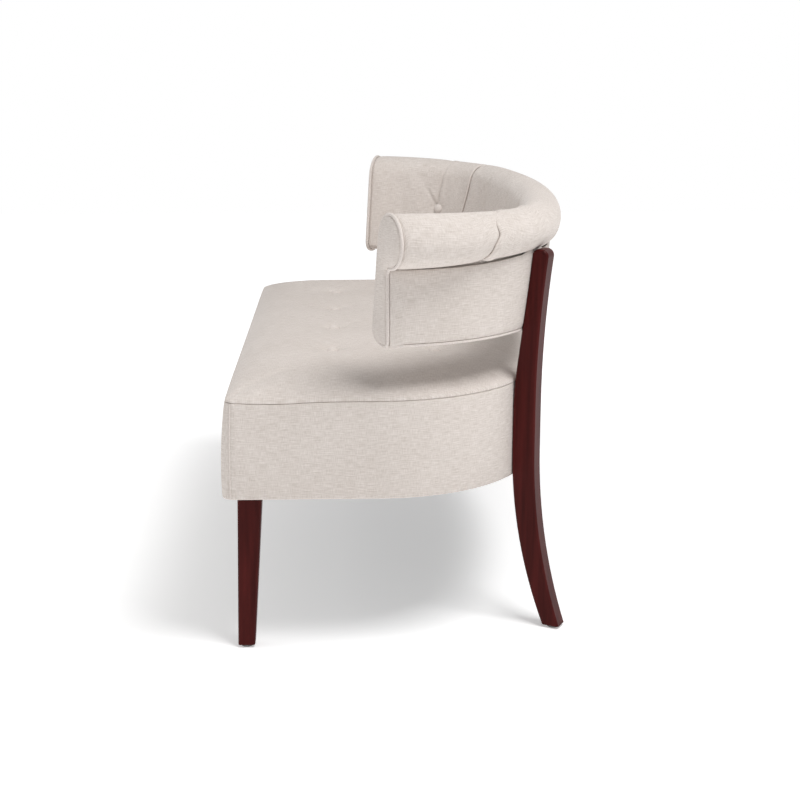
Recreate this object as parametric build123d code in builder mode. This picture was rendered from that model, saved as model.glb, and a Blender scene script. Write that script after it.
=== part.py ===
from build123d import *
import os
from math import acos, asin, atan2, cos, degrees, hypot, radians, sin, sqrt, tan

os.makedirs("parts", exist_ok=True)

# Settee with a short rolled back wrapped round a bowed seat, on four wooden legs. Sizes in mm.
# +Y is the rear and +Z up, with the floor at Z 0. Left and right are as seen from the front, right at +X.

# Seat: D-shaped plan with straight ends, wide rear corners and a gently bowed rear
SEAT_LENGTH = 1150
END_STRAIGHT = 258
CORNER_R = 275
CORNER_TURN = 79
FRONT_CORNER_R = 16
FRONT_LEAN = 8
SEAT_BOTTOM = 275
SEAT_SEAM = 440
SEAT_CROWN = 40
CROWN_RUN = 150
CROWN_STEPS = 6

# Seat covering
BORDER_T = 8
HEM_W = 7
HEM_T = 3
HEM_ROUND = 6
HEM_STEPS = 2
DUST_COVER_T = 1.2

# Seat frame and its filling
RAIL_T = 25
RAIL_H = 80
BRACE_T = 22
BRACE_H = 60
BRACE_SPAN = 380
BLOCK_SIDE = 85
BLOCK_H = 45
WEB_W = 50
WEB_T = 1.5
WEB_LONG_COUNT = 4
WEB_LONG_PITCH = 115
WEB_CROSS_COUNT = 8
WEB_CROSS_PITCH = 128
DECK_T = 4

# Covered buttons and their tufts
BUTTON_R = 11
BUTTON_DOME = 6
BUTTON_EDGE = 2.5
BUTTON_H = 7
BUTTON_SIDES = 12
SEAT_BUTTON_COLUMNS = 4
SEAT_BUTTON_PITCH = 208
SEAT_ROW_FRONT = 176
SEAT_ROW_GAP = 185
SEAT_TUFT_DEPTH = 16
SEAT_TUFT_REACH = 52
BACK_TUFT_DEPTH = 9
BACK_TUFT_REACH = 30
TUFT_LIFT = 1.5
PLEAT_R = 4
PLEAT_END = -20

# Back: upright wall with a rolled top, wrapped from one short arm round to the other
BACK_BOTTOM = 533
BACK_OUT = 14.5
BACK_T = 60
BACK_LEAN = 0.125
BACK_ROUND = 14
ROLL_Z = 707.5
ROLL_R_ARM = 45.5
ROLL_R_BACK = 39
ROLL_OUT_ARM = 25.5
ROLL_OUT_BACK = 11.5
SEAM_TURN = 64
ARM_STEPS = 6
BOW_STEPS = 6
ARM_BUTTON_TURN = 39.5
BACK_BUTTON_Z = 640
PANEL_T = 3
WELT_D = 5
CORD_SIDES = 6
ROLL_SIDES = 12

# Arm front: padded facing set at a slant, edged with piping, on a plywood post
FACING_Y = 259.4
FACING_TURN = 21
FACING_T = 8
PIPING_D = 6
PIPING_PROUD = 1.5
PIPING_BEND = 9
POST_T = 20
POST_INSET = 12

# Back frame: bent plywood core with rails along its outer side
CORE_IN = 16
CORE_T = 12
CORE_RISE = 8
RAIL_LOW_H = 24
RAIL_TOP_W = 24
RAIL_TOP_H = 26
STILE_BLOCK_TURN = 8

# Front legs: square taper
FRONT_LEG_TOP = 42
FRONT_LEG_FOOT = 29
FRONT_LEG_SETBACK = 16
FRONT_LEG_INSET = 38
FRONT_LEG_SPLAY = 4
FRONT_LEG_FLARE = 18
LEG_EASE = 2.5

# Rear legs: sabre stiles standing radially on the rear corners
LEG_TURN = 60.75
LEG_T = 30
LEG_DEPTH = 42
LEG_TOP_DEPTH = 29.5
LEG_TOP = 676
LEG_TOP_ROUND = 12
LEG_WAIST = 320
LEG_SHOULDER = 400
LEG_BEND_R = 700
SABRE_INNER_R = 813
SABRE_OUTER_R = 954
GLIDE_R = 10
GLIDE_H = 5

# Bolts and threaded inserts
BOLT_R = 4
BOLT_HEAD_R = 7
BOLT_HEAD_H = 5
BOLT_GRIP = 22
INSERT_R = 6
INSERT_L = 18
HANGER_L = 70
SEAT_BOLT_GAP = 36
BACK_BOLT_GAP = 62
BACK_BOLT_LOW = 46

# Clearances
FIT = 0.3
HOLE_FIT = 0.3
LEG_GAP = 0.2
CUTOUT_GAP = 1

half = SEAT_LENGTH / 2
turn = radians(CORNER_TURN)
corner_x = half - CORNER_R
bow_r = (corner_x + CORNER_R * cos(turn)) / cos(turn)
bow_turn = 180 - 2 * CORNER_TURN
seat_depth = END_STRAIGHT + CORNER_R * sin(turn) + bow_r * (1 - sin(turn))
front_y = -(seat_depth + ROLL_OUT_BACK + ROLL_R_BACK - FRONT_LEAN) / 2
corner_y = front_y + END_STRAIGHT
bow_y = corner_y + (CORNER_R - bow_r) * sin(turn)
rail_z = SEAT_BOTTOM + HEM_T
rail_top = rail_z + RAIL_H
rail_mid = rail_z + RAIL_H / 2
deck_z = rail_top + 2 * WEB_T
foam_z = deck_z + DECK_T
crown_z = SEAT_SEAM + SEAT_CROWN
wall_z = BACK_BOTTOM + WELT_D


def seat_plan(grow, front=0.0):
    """Face of the seat's plan, moved outward by grow, with the front edge a further front ahead."""
    x = half + grow
    y = front_y - grow - front
    f = FRONT_CORNER_R
    r = CORNER_R + grow
    with BuildSketch() as plan:
        with BuildLine():
            Line((f - x, y), (x - f, y))
            CenterArc((x - f, y + f), f, -90, 90)
            Line((x, y + f), (x, corner_y))
            CenterArc((corner_x, corner_y), r, 0, CORNER_TURN)
            CenterArc((0, bow_y), bow_r + grow, CORNER_TURN, bow_turn)
            CenterArc((-corner_x, corner_y), r, 180 - CORNER_TURN, CORNER_TURN)
            Line((-x, corner_y), (-x, y + f))
            CenterArc((f - x, y + f), f, 180, 90)
        make_face()
    return plan.sketch


def band(center, radius, inner, outer, start, sweep):
    """Face between two offsets of one plan arc."""
    with BuildSketch() as strip:
        with BuildLine():
            near = CenterArc(center, radius + inner, start, sweep)
            far = CenterArc(center, radius + outer, start, sweep)
            Line(near @ 0, far @ 0)
            Line(near @ 1, far @ 1)
        make_face()
    return strip.sketch


def corner_band(inner, outer):
    return band((corner_x, corner_y), CORNER_R, inner, outer, 0, CORNER_TURN)


def bow_band(inner, outer):
    return band((0, bow_y), bow_r, inner, outer, CORNER_TURN, bow_turn)


def station(u):
    """Upright plane across the back where the plan has turned by u degrees from the right-hand end."""
    if u <= CORNER_TURN:
        cx, cy, r = corner_x, corner_y, CORNER_R
    elif u < 180 - CORNER_TURN:
        cx, cy, r = 0, bow_y, bow_r
    else:
        cx, cy, r = -corner_x, corner_y, CORNER_R
    dx = cos(radians(u))
    dy = sin(radians(u))
    return Plane((cx + r * dx, cy + r * dy, 0), x_dir=(dx, dy, 0), z_dir=(dy, -dx, 0))


def facing_plane(behind=0.0):
    """Slanted plane of the right-hand arm front, or one behind it."""
    dx = cos(radians(FACING_TURN))
    dy = sin(radians(FACING_TURN))
    y = front_y + FACING_Y + behind / dx
    return Plane((half, y, 0), x_dir=(dx, dy, 0), z_dir=(dy, -dx, 0))


def settle(u):
    """How far the roll has drawn down to its rear form: 0 at the arm fronts, 1 from the legs on."""
    t = max(0.0, min(1.0, min(u, 180 - u) / LEG_TURN))
    return t * t * (3 - 2 * t)


class Section:
    """Points of the back's cross-section: x outward from the seat's plan, y up."""

    def __init__(self, drawn, slant=0.0, skin=0.0):
        widen = 1 / cos(radians(slant))
        self.roll_x = widen * (ROLL_OUT_ARM + (ROLL_OUT_BACK - ROLL_OUT_ARM) * drawn)
        self.roll_r = ROLL_R_ARM + (ROLL_R_BACK - ROLL_R_ARM) * drawn
        self.lean = BACK_LEAN * drawn
        self.outer_x = widen * BACK_OUT - skin
        self.inner_x = widen * (BACK_OUT - BACK_T)
        dx = self.roll_x - self.inner_x
        dy = ROLL_Z - wall_z - BACK_ROUND
        self.tilt = atan2(dx, dy) - asin(self.roll_r / hypot(dx, dy))
        run = sqrt(dx**2 + dy**2 - self.roll_r**2)
        self.cheek = (self.inner_x + run * sin(self.tilt), wall_z + BACK_ROUND + run * cos(self.tilt))
        self.ridge = self.on_roll(90)
        m = self.lean
        k = self.outer_x + m * (ROLL_Z - wall_z) - self.roll_x
        drop = (m * k + sqrt((m * k) ** 2 - (1 + m**2) * (k**2 - self.roll_r**2))) / (1 + m**2)
        self.nook = (self.roll_x + k - m * drop, ROLL_Z - drop)
        self.nook_turn = degrees(atan2(-drop, k - m * drop))

    def on_roll(self, angle):
        a = radians(angle)
        return (self.roll_x + self.roll_r * cos(a), ROLL_Z + self.roll_r * sin(a))

    def inside(self, z):
        """Point of the inside face at height z."""
        return (self.inner_x + (z - wall_z - BACK_ROUND) * tan(self.tilt), z)

    def outside(self, z):
        return (self.outer_x + self.lean * (z - wall_z), z)

    def outline(self):
        """Face of the whole section: bottom, inside face, roll in three arcs and outside face."""
        foot = (self.inner_x + BACK_ROUND, wall_z)
        heel = (self.inner_x, wall_z + BACK_ROUND)
        bend = BACK_ROUND * (1 - sqrt(0.5))
        side = self.on_roll(0)
        rim = [
            Edge.make_line((self.outer_x, wall_z), foot),
            Edge.make_three_point_arc(foot, (self.inner_x + bend, wall_z + bend), heel),
            Edge.make_line(heel, self.cheek),
            Edge.make_three_point_arc(self.cheek, self.on_roll(135), self.ridge),
            Edge.make_three_point_arc(self.ridge, self.on_roll(45), side),
            Edge.make_three_point_arc(side, self.on_roll(self.nook_turn / 2), self.nook),
            Edge.make_line(self.nook, (self.outer_x, wall_z)),
        ]
        return Face(Wire(rim))

    def wrap(self):
        """Face of a pad's section, its heel and roll drawn as flats."""
        first = 180 - degrees(self.tilt)
        turns = [first + (self.nook_turn - first) * step / ROLL_SIDES for step in range(ROLL_SIDES + 1)]
        bend = BACK_ROUND * (1 - sqrt(0.5))
        with BuildSketch() as face:
            with BuildLine():
                Polyline(
                    (self.outer_x, wall_z),
                    (self.inner_x + BACK_ROUND, wall_z),
                    (self.inner_x + bend, wall_z + bend),
                    (self.inner_x, wall_z + BACK_ROUND),
                    *[self.on_roll(turn) for turn in turns],
                    close=True,
                )
            make_face()
        return face.sketch

    def panel(self):
        """Face of the thin outside panel, from the foot of the wall up to the underside of the roll."""
        top = min(self.nook[1], self.under(self.nook[0] - PANEL_T)) - FIT
        x, y = self.outside(top)
        with BuildSketch() as face:
            with BuildLine():
                Polyline(
                    (self.outer_x, wall_z),
                    (x, y),
                    (x - PANEL_T, y),
                    (self.outer_x - PANEL_T, wall_z),
                    close=True,
                )
            make_face()
        return face.sketch

    def under(self, x):
        """Height of the roll's underside at x."""
        return ROLL_Z - sqrt(self.roll_r**2 - (x - self.roll_x) ** 2)


def inside_plane(u, z):
    """Plane lying on the inside face of the back, its normal towards the sitter."""
    form = Section(settle(u))
    at = station(u)
    x, y = form.inside(z)
    normal = at.from_local_coords(Vector(-cos(form.tilt), sin(form.tilt), 0)) - at.origin
    return Plane(at.from_local_coords((x, y, 0)), x_dir=at.z_dir, z_dir=normal)


def tuft(where, depth, reach):
    """Hollow pulled in by a covered button: a flat floor, drawn out in folds to the surface round it."""
    floor = BUTTON_R + FIT
    with BuildPart(where.offset(-depth)) as hollow:
        Cone(floor, floor + reach, depth + TUFT_LIFT, align=(Align.CENTER, Align.CENTER, Align.MIN))
    return hollow.part


def button(where, depth):
    """Covered button seated on the floor of its tuft."""
    with BuildPart() as knob:
        with BuildSketch(where.offset(-depth)):
            RegularPolygon(BUTTON_R, BUTTON_SIDES)
        with BuildSketch(where.offset(BUTTON_EDGE - depth)):
            RegularPolygon(BUTTON_R, BUTTON_SIDES)
        with BuildSketch(where.offset(BUTTON_H - depth)):
            RegularPolygon(BUTTON_DOME, BUTTON_SIDES)
        loft(ruled=True)
    return knob.part


def pleat(u):
    """Fold sewn in above an arm button, up the inside face and over the roll."""
    form = Section(settle(u))
    with BuildPart() as groove:
        with BuildLine(station(u)) as fold:
            Line(form.inside(BACK_BUTTON_Z), form.cheek)
            ThreePointArc(form.cheek, form.on_roll(135), form.ridge)
            ThreePointArc(form.ridge, form.on_roll(35), form.on_roll(PLEAT_END))
        with BuildSketch(Plane(fold.line @ 0, z_dir=fold.line % 0)):
            RegularPolygon(PLEAT_R, 4)
        sweep()
    return groove.part


seat_button_planes = [
    Plane.XY.offset(crown_z).move(
        Location(((column - (SEAT_BUTTON_COLUMNS - 1) / 2) * SEAT_BUTTON_PITCH, front_y + row, 0))
    )
    for column in range(SEAT_BUTTON_COLUMNS)
    for row in (SEAT_ROW_FRONT, SEAT_ROW_FRONT + SEAT_ROW_GAP)
]
back_button_turns = [
    degrees(acos((column - (SEAT_BUTTON_COLUMNS - 1) / 2) * SEAT_BUTTON_PITCH / bow_r))
    for column in range(SEAT_BUTTON_COLUMNS)
]

# Front legs, tapering mostly on their inner sides
leg_out_x = half - FRONT_LEG_INSET
leg_front_y = front_y + FRONT_LEG_SETBACK
leg_top_x = leg_out_x - FRONT_LEG_TOP / 2
leg_top_y = leg_front_y + FRONT_LEG_TOP / 2
leg_foot_x = leg_out_x + FRONT_LEG_FLARE - FRONT_LEG_FOOT / 2
leg_foot_y = leg_front_y - FRONT_LEG_SPLAY + FRONT_LEG_FOOT / 2
hanger_x = leg_top_x - BOLT_R
hanger_y = leg_top_y + BOLT_R
hanger_z = rail_z - HANGER_L / 2

with BuildPart() as front_leg_right:
    with BuildSketch(Plane.XY.offset(GLIDE_H)) as foot_face:
        with Locations((leg_foot_x, leg_foot_y)):
            Rectangle(FRONT_LEG_FOOT, FRONT_LEG_FOOT)
        chamfer(foot_face.vertices(), LEG_EASE)
    with BuildSketch(Plane.XY.offset(rail_z)) as top_face:
        with Locations((leg_top_x, leg_top_y)):
            Rectangle(FRONT_LEG_TOP, FRONT_LEG_TOP)
        chamfer(top_face.vertices(), LEG_EASE)
    loft(ruled=True)
    with Locations((hanger_x, hanger_y, rail_z)):
        Hole(BOLT_R, HANGER_L / 2)
front_leg_right.part.label = "front_leg_right"
export_step(front_leg_right.part, "parts/front_leg_right.step")

with BuildPart() as front_leg_left:
    mirror(front_leg_right.part, about=Plane.YZ)
front_leg_left.part.label = "front_leg_left"
export_step(front_leg_left.part, "parts/front_leg_left.step")

with BuildPart() as front_hanger_bolts:
    with Locations((hanger_x, hanger_y, hanger_z), (-hanger_x, hanger_y, hanger_z)):
        Cylinder(BOLT_R, HANGER_L, align=(Align.CENTER, Align.CENTER, Align.MIN))
front_hanger_bolts.part.label = "front_hanger_bolts"
export_step(front_hanger_bolts.part, "parts/front_hanger_bolts.step")

# Rear legs: the upper run lies along the leaning outside of the back, the foot sweeps out behind
leg_plane = station(LEG_TURN)
leg_bend = atan2(BACK_LEAN, 1)
bend_z = wall_z - BACK_OUT / BACK_LEAN
bend_start = bend_z - LEG_BEND_R * tan(leg_bend / 2)
leg_top_in = BACK_OUT + LEG_GAP + BACK_LEAN * (LEG_TOP - wall_z)
sabre_in = degrees(asin((LEG_WAIST - GLIDE_H) / SABRE_INNER_R))
sabre_out = degrees(asin((LEG_WAIST - GLIDE_H) / SABRE_OUTER_R))
seat_bolts = [rail_mid - SEAT_BOLT_GAP / 2, rail_mid + SEAT_BOLT_GAP / 2]
back_bolts = [wall_z + BACK_BOLT_LOW, wall_z + BACK_BOLT_LOW + BACK_BOLT_GAP]


def leg_face(z):
    """How far the leg's inner face stands outside the seat's plan at height z."""
    return LEG_GAP + max(0.0, BACK_LEAN * (z - bend_z))


def radial(x, z):
    """Plane across the leg's bolts, x out from the seat's plan."""
    return Plane(leg_plane.from_local_coords((x, z, 0)), z_dir=leg_plane.x_dir)


with BuildPart() as rear_leg_right:
    with BuildSketch(leg_plane) as leg_profile:
        with BuildLine():
            inner_foot = JernArc((LEG_GAP, LEG_WAIST), (0, -1), SABRE_INNER_R, sabre_in)
            Line((LEG_GAP, LEG_WAIST), (LEG_GAP, bend_start))
            inner_bend = JernArc((LEG_GAP, bend_start), (0, 1), LEG_BEND_R, -degrees(leg_bend))
            Line(inner_bend @ 1, (leg_top_in, LEG_TOP))
            Line((leg_top_in, LEG_TOP), (leg_top_in + LEG_TOP_DEPTH, LEG_TOP))
            TangentArc((LEG_DEPTH, LEG_SHOULDER), (leg_top_in + LEG_TOP_DEPTH, LEG_TOP), tangent=(0, 1))
            Line((LEG_DEPTH, LEG_SHOULDER), (LEG_DEPTH, LEG_WAIST))
            outer_foot = JernArc((LEG_DEPTH, LEG_WAIST), (0, -1), SABRE_OUTER_R, sabre_out)
            Line(inner_foot @ 1, outer_foot @ 1)
        make_face()
        fillet(leg_profile.vertices().group_by(Axis.Y)[-1], LEG_TOP_ROUND)
    extrude(amount=LEG_T / 2, both=True)
    sides = rear_leg_right.faces().filter_by(leg_plane)
    chamfer(sides.edges().filter_by(Plane.XY, reverse=True), LEG_EASE)
    for z in seat_bolts + back_bolts:
        with BuildSketch(radial(leg_face(z) - INSERT_R, z)):
            RegularPolygon(INSERT_R, 6)
        extrude(amount=INSERT_R + BOLT_GRIP + BOLT_R, mode=Mode.SUBTRACT)
rear_leg_right.part.label = "rear_leg_right"
export_step(rear_leg_right.part, "parts/rear_leg_right.step")

with BuildPart() as rear_leg_left:
    mirror(rear_leg_right.part, about=Plane.YZ)
rear_leg_left.part.label = "rear_leg_left"
export_step(rear_leg_left.part, "parts/rear_leg_left.step")

with BuildPart() as leg_inserts:
    for z in seat_bolts + back_bolts:
        with BuildSketch(radial(leg_face(z) + INSERT_R * BACK_LEAN, z)):
            RegularPolygon(INSERT_R, 6)
            Circle(BOLT_R, mode=Mode.SUBTRACT)
        extrude(amount=INSERT_L)
    mirror(about=Plane.YZ)
leg_inserts.part.label = "leg_inserts"
export_step(leg_inserts.part, "parts/leg_inserts.step")

# Glides under the four feet
foot_mid = leg_plane.from_local_coords((inner_foot @ 1 + outer_foot @ 1) / 2)

with BuildPart() as leg_glides:
    with Locations((leg_foot_x, leg_foot_y, 0), (foot_mid.X, foot_mid.Y, 0)):
        Cylinder(GLIDE_R, GLIDE_H, align=(Align.CENTER, Align.CENTER, Align.MIN))
    mirror(about=Plane.YZ)
leg_glides.part.label = "leg_glides"
export_step(leg_glides.part, "parts/leg_glides.step")

# Seat frame: straight rails at the front and ends, sawn corner rails, bowed rear rail
rail_in = BORDER_T + RAIL_T

with BuildPart() as seat_front_rail:
    with BuildSketch(Plane.XY.offset(rail_z)):
        with Locations((0, front_y + BORDER_T)):
            Rectangle(2 * (half - rail_in), RAIL_T, align=(Align.CENTER, Align.MIN))
    extrude(amount=RAIL_H)
seat_front_rail.part.label = "seat_front_rail"
export_step(seat_front_rail.part, "parts/seat_front_rail.step")

with BuildPart() as seat_end_rails:
    with BuildSketch(Plane.XY.offset(rail_z)) as end_rail:
        with Locations((half - BORDER_T, front_y + BORDER_T)):
            Rectangle(RAIL_T, END_STRAIGHT - BORDER_T, align=(Align.MAX, Align.MIN))
        fillet(end_rail.vertices().group_by(Axis.Y)[0].sort_by(Axis.X)[-1], FRONT_CORNER_R)
    extrude(amount=RAIL_H)
    mirror(about=Plane.YZ)
seat_end_rails.part.label = "seat_end_rails"
export_step(seat_end_rails.part, "parts/seat_end_rails.step")

with BuildPart() as seat_bolt_holes:
    for z in seat_bolts:
        with BuildSketch(radial(-rail_in - FIT, z)):
            Circle(BOLT_R + HOLE_FIT)
        extrude(amount=rail_in + BOLT_R)
    mirror(about=Plane.YZ)

with BuildPart() as seat_corner_rail_right:
    with BuildSketch(Plane.XY.offset(rail_z)):
        add(corner_band(-rail_in, -BORDER_T))
    extrude(amount=RAIL_H)
    add(seat_bolt_holes.part, mode=Mode.SUBTRACT)
seat_corner_rail_right.part.label = "seat_corner_rail_right"
export_step(seat_corner_rail_right.part, "parts/seat_corner_rail_right.step")

with BuildPart() as seat_corner_rail_left:
    mirror(seat_corner_rail_right.part, about=Plane.YZ)
seat_corner_rail_left.part.label = "seat_corner_rail_left"
export_step(seat_corner_rail_left.part, "parts/seat_corner_rail_left.step")

with BuildPart() as seat_rear_rail:
    with BuildSketch(Plane.XY.offset(rail_z)):
        add(bow_band(-rail_in, -BORDER_T))
    extrude(amount=RAIL_H)
seat_rear_rail.part.label = "seat_rear_rail"
export_step(seat_rear_rail.part, "parts/seat_rear_rail.step")

with BuildPart() as seat_brace_right:
    with BuildSketch(Plane.XY.offset(rail_z)):
        add(seat_plan(-rail_in))
        with Locations((BRACE_SPAN / 2, 0)):
            Rectangle(BRACE_T, 2 * seat_depth, mode=Mode.INTERSECT)
    extrude(amount=BRACE_H)
seat_brace_right.part.label = "seat_brace_right"
export_step(seat_brace_right.part, "parts/seat_brace_right.step")

with BuildPart() as seat_brace_left:
    mirror(seat_brace_right.part, about=Plane.YZ)
seat_brace_left.part.label = "seat_brace_left"
export_step(seat_brace_left.part, "parts/seat_brace_left.step")

with BuildPart() as seat_corner_blocks:
    with BuildSketch(Plane.XY.offset(rail_z)):
        nook_x = half - rail_in
        nook_y = front_y + rail_in
        with BuildLine():
            Polyline(
                (nook_x, nook_y),
                (nook_x, nook_y + BLOCK_SIDE),
                (nook_x - BLOCK_SIDE, nook_y),
                close=True,
            )
        make_face()
    extrude(amount=BLOCK_H)
    with Locations((hanger_x, hanger_y, rail_z + BLOCK_H)):
        Hole(BOLT_R, BLOCK_H)
    mirror(about=Plane.YZ)
seat_corner_blocks.part.label = "seat_corner_blocks"
export_step(seat_corner_blocks.part, "parts/seat_corner_blocks.step")

with BuildPart() as seat_leg_bolts:
    for z in seat_bolts:
        with BuildSketch(radial(-rail_in - FIT, z)):
            RegularPolygon(BOLT_HEAD_R, 6)
        extrude(amount=-BOLT_HEAD_H)
        with BuildSketch(radial(-rail_in - FIT, z)):
            Circle(BOLT_R)
        extrude(amount=rail_in + FIT + BOLT_GRIP)
    mirror(about=Plane.YZ)
seat_leg_bolts.part.label = "seat_leg_bolts"
export_step(seat_leg_bolts.part, "parts/seat_leg_bolts.step")

# Webbing across the rails, felt deck and foam
with BuildPart() as seat_webbing_long:
    with BuildSketch(Plane.XY.offset(rail_top)):
        with Locations((0, front_y + seat_depth / 2)):
            with GridLocations(1, WEB_LONG_PITCH, 1, WEB_LONG_COUNT):
                Rectangle(SEAT_LENGTH, WEB_W)
        add(seat_plan(-BORDER_T - RAIL_T / 4), mode=Mode.INTERSECT)
    extrude(amount=WEB_T)
seat_webbing_long.part.label = "seat_webbing_long"
export_step(seat_webbing_long.part, "parts/seat_webbing_long.step")

with BuildPart() as seat_webbing_cross:
    with BuildSketch(Plane.XY.offset(rail_top + WEB_T)):
        with GridLocations(WEB_CROSS_PITCH, 1, WEB_CROSS_COUNT, 1):
            Rectangle(WEB_W, 2 * seat_depth)
        add(seat_plan(-BORDER_T - RAIL_T / 4), mode=Mode.INTERSECT)
    extrude(amount=WEB_T)
seat_webbing_cross.part.label = "seat_webbing_cross"
export_step(seat_webbing_cross.part, "parts/seat_webbing_cross.step")

with BuildPart() as seat_deck_felt:
    with BuildSketch(Plane.XY.offset(deck_z)):
        add(seat_plan(-BORDER_T))
    extrude(amount=DECK_T)
seat_deck_felt.part.label = "seat_deck_felt"
export_step(seat_deck_felt.part, "parts/seat_deck_felt.step")

with BuildPart() as seat_foam:
    with BuildSketch(Plane.XY.offset(foam_z)):
        add(seat_plan(-BORDER_T))
    extrude(amount=SEAT_SEAM - foam_z)
seat_foam.part.label = "seat_foam"
export_step(seat_foam.part, "parts/seat_foam.step")

# Seat covering: boxed border round the frame, crowned and buttoned top, dust cover below
with BuildPart() as seat_border:
    for step in range(HEM_STEPS + 1):
        a = radians(90 * step / HEM_STEPS)
        rise = HEM_ROUND * (1 - cos(a))
        lean = FRONT_LEAN * (1 - rise / (SEAT_SEAM - SEAT_BOTTOM))
        with BuildSketch(Plane.XY.offset(SEAT_BOTTOM + rise)):
            add(seat_plan(HEM_ROUND * (sin(a) - 1), lean))
    with BuildSketch(Plane.XY.offset(SEAT_SEAM)):
        add(seat_plan(0))
    loft(ruled=True)
    with BuildSketch(Plane.XY.offset(rail_z)):
        add(seat_plan(-BORDER_T))
    extrude(amount=SEAT_SEAM - rail_z, mode=Mode.SUBTRACT)
    with BuildSketch(Plane.XY.offset(SEAT_BOTTOM)):
        add(seat_plan(-BORDER_T - HEM_W))
    extrude(amount=HEM_T, mode=Mode.SUBTRACT)
    add(seat_bolt_holes.part, mode=Mode.SUBTRACT)
seat_border.part.label = "seat_border"
export_step(seat_border.part, "parts/seat_border.step")

with BuildPart() as seat_top_pad:
    for step in range(CROWN_STEPS + 1):
        rise = radians(90 * step / CROWN_STEPS)
        with BuildSketch(Plane.XY.offset(SEAT_SEAM + SEAT_CROWN * sin(rise))):
            add(seat_plan(-CROWN_RUN * (1 - cos(rise))))
    loft(ruled=True)
    for place in seat_button_planes:
        add(tuft(place, SEAT_TUFT_DEPTH, SEAT_TUFT_REACH), mode=Mode.SUBTRACT)
seat_top_pad.part.label = "seat_top_pad"
export_step(seat_top_pad.part, "parts/seat_top_pad.step")

with BuildPart() as seat_buttons:
    for place in seat_button_planes:
        add(button(place, SEAT_TUFT_DEPTH))
seat_buttons.part.label = "seat_buttons"
export_step(seat_buttons.part, "parts/seat_buttons.step")

with BuildPart() as dust_cover:
    with BuildSketch(Plane.XY.offset(rail_z - DUST_COVER_T)):
        add(seat_plan(-BORDER_T - HEM_W - FIT))
        with Locations((leg_top_x, leg_top_y), (-leg_top_x, leg_top_y)):
            notch = FRONT_LEG_TOP + 2 * CUTOUT_GAP
            Rectangle(notch, notch, mode=Mode.SUBTRACT)
    extrude(amount=DUST_COVER_T)
dust_cover.part.label = "dust_cover"
export_step(dust_cover.part, "parts/dust_cover.step")

# Back frame: bent plywood core in three lengths, rails on its outer side, blocks behind the legs
core_out = CORE_T - CORE_IN
core_z = wall_z + CORE_RISE
post_back = facing_plane(FACING_T + POST_T)
low_rail_out = BACK_OUT - PANEL_T - FIT
top_rail_z = ROLL_Z - RAIL_TOP_H / 2

with BuildPart() as back_bolt_holes:
    for z in back_bolts:
        with BuildSketch(radial(-CORE_IN - FIT, z)):
            RegularPolygon(BOLT_HEAD_R + HOLE_FIT, 6)
        extrude(amount=-BOLT_HEAD_H)
        with BuildSketch(radial(-CORE_IN - FIT, z)):
            Circle(BOLT_R + HOLE_FIT)
        extrude(amount=CORE_IN + leg_face(z) + BOLT_R)
    mirror(about=Plane.YZ)

with BuildPart() as back_leg_bolts:
    for z in back_bolts:
        with BuildSketch(radial(-CORE_IN - FIT, z)):
            RegularPolygon(BOLT_HEAD_R, 6)
        extrude(amount=-BOLT_HEAD_H)
        with BuildSketch(radial(-CORE_IN - FIT, z)):
            Circle(BOLT_R)
        extrude(amount=CORE_IN + FIT + leg_face(z) + BOLT_GRIP)
    mirror(about=Plane.YZ)
back_leg_bolts.part.label = "back_leg_bolts"
export_step(back_leg_bolts.part, "parts/back_leg_bolts.step")

with BuildPart() as back_core_right:
    with BuildSketch(Plane.XY.offset(core_z)):
        add(corner_band(-CORE_IN, core_out))
    extrude(amount=ROLL_Z - core_z)
    split(bisect_by=post_back, keep=Keep.BOTTOM)
    add(back_bolt_holes.part, mode=Mode.SUBTRACT)
back_core_right.part.label = "back_core_right"
export_step(back_core_right.part, "parts/back_core_right.step")

with BuildPart() as back_core_left:
    mirror(back_core_right.part, about=Plane.YZ)
back_core_left.part.label = "back_core_left"
export_step(back_core_left.part, "parts/back_core_left.step")

with BuildPart() as back_core_center:
    with BuildSketch(Plane.XY.offset(core_z)):
        add(bow_band(-CORE_IN, core_out))
    extrude(amount=ROLL_Z - core_z)
back_core_center.part.label = "back_core_center"
export_step(back_core_center.part, "parts/back_core_center.step")

with BuildPart() as back_low_rail:
    with BuildSketch(Plane.XY.offset(wall_z)):
        add(corner_band(core_out, low_rail_out))
    extrude(amount=RAIL_LOW_H)
    split(bisect_by=post_back, keep=Keep.BOTTOM)
    mirror(about=Plane.YZ)
    with BuildSketch(Plane.XY.offset(wall_z)):
        add(bow_band(core_out, low_rail_out))
    extrude(amount=RAIL_LOW_H)
back_low_rail.part.label = "back_low_rail"
export_step(back_low_rail.part, "parts/back_low_rail.step")

with BuildPart() as back_top_rail:
    with BuildSketch(Plane.XY.offset(top_rail_z)):
        add(corner_band(core_out, core_out + RAIL_TOP_W))
    extrude(amount=RAIL_TOP_H)
    split(bisect_by=post_back, keep=Keep.BOTTOM)
    mirror(about=Plane.YZ)
    with BuildSketch(Plane.XY.offset(top_rail_z)):
        add(bow_band(core_out, core_out + RAIL_TOP_W))
    extrude(amount=RAIL_TOP_H)
back_top_rail.part.label = "back_top_rail"
export_step(back_top_rail.part, "parts/back_top_rail.step")

corner_axis = Axis((corner_x, corner_y, 0), (0, 0, 1))
bow_axis = Axis((0, bow_y, 0), (0, 0, 1))

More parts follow.
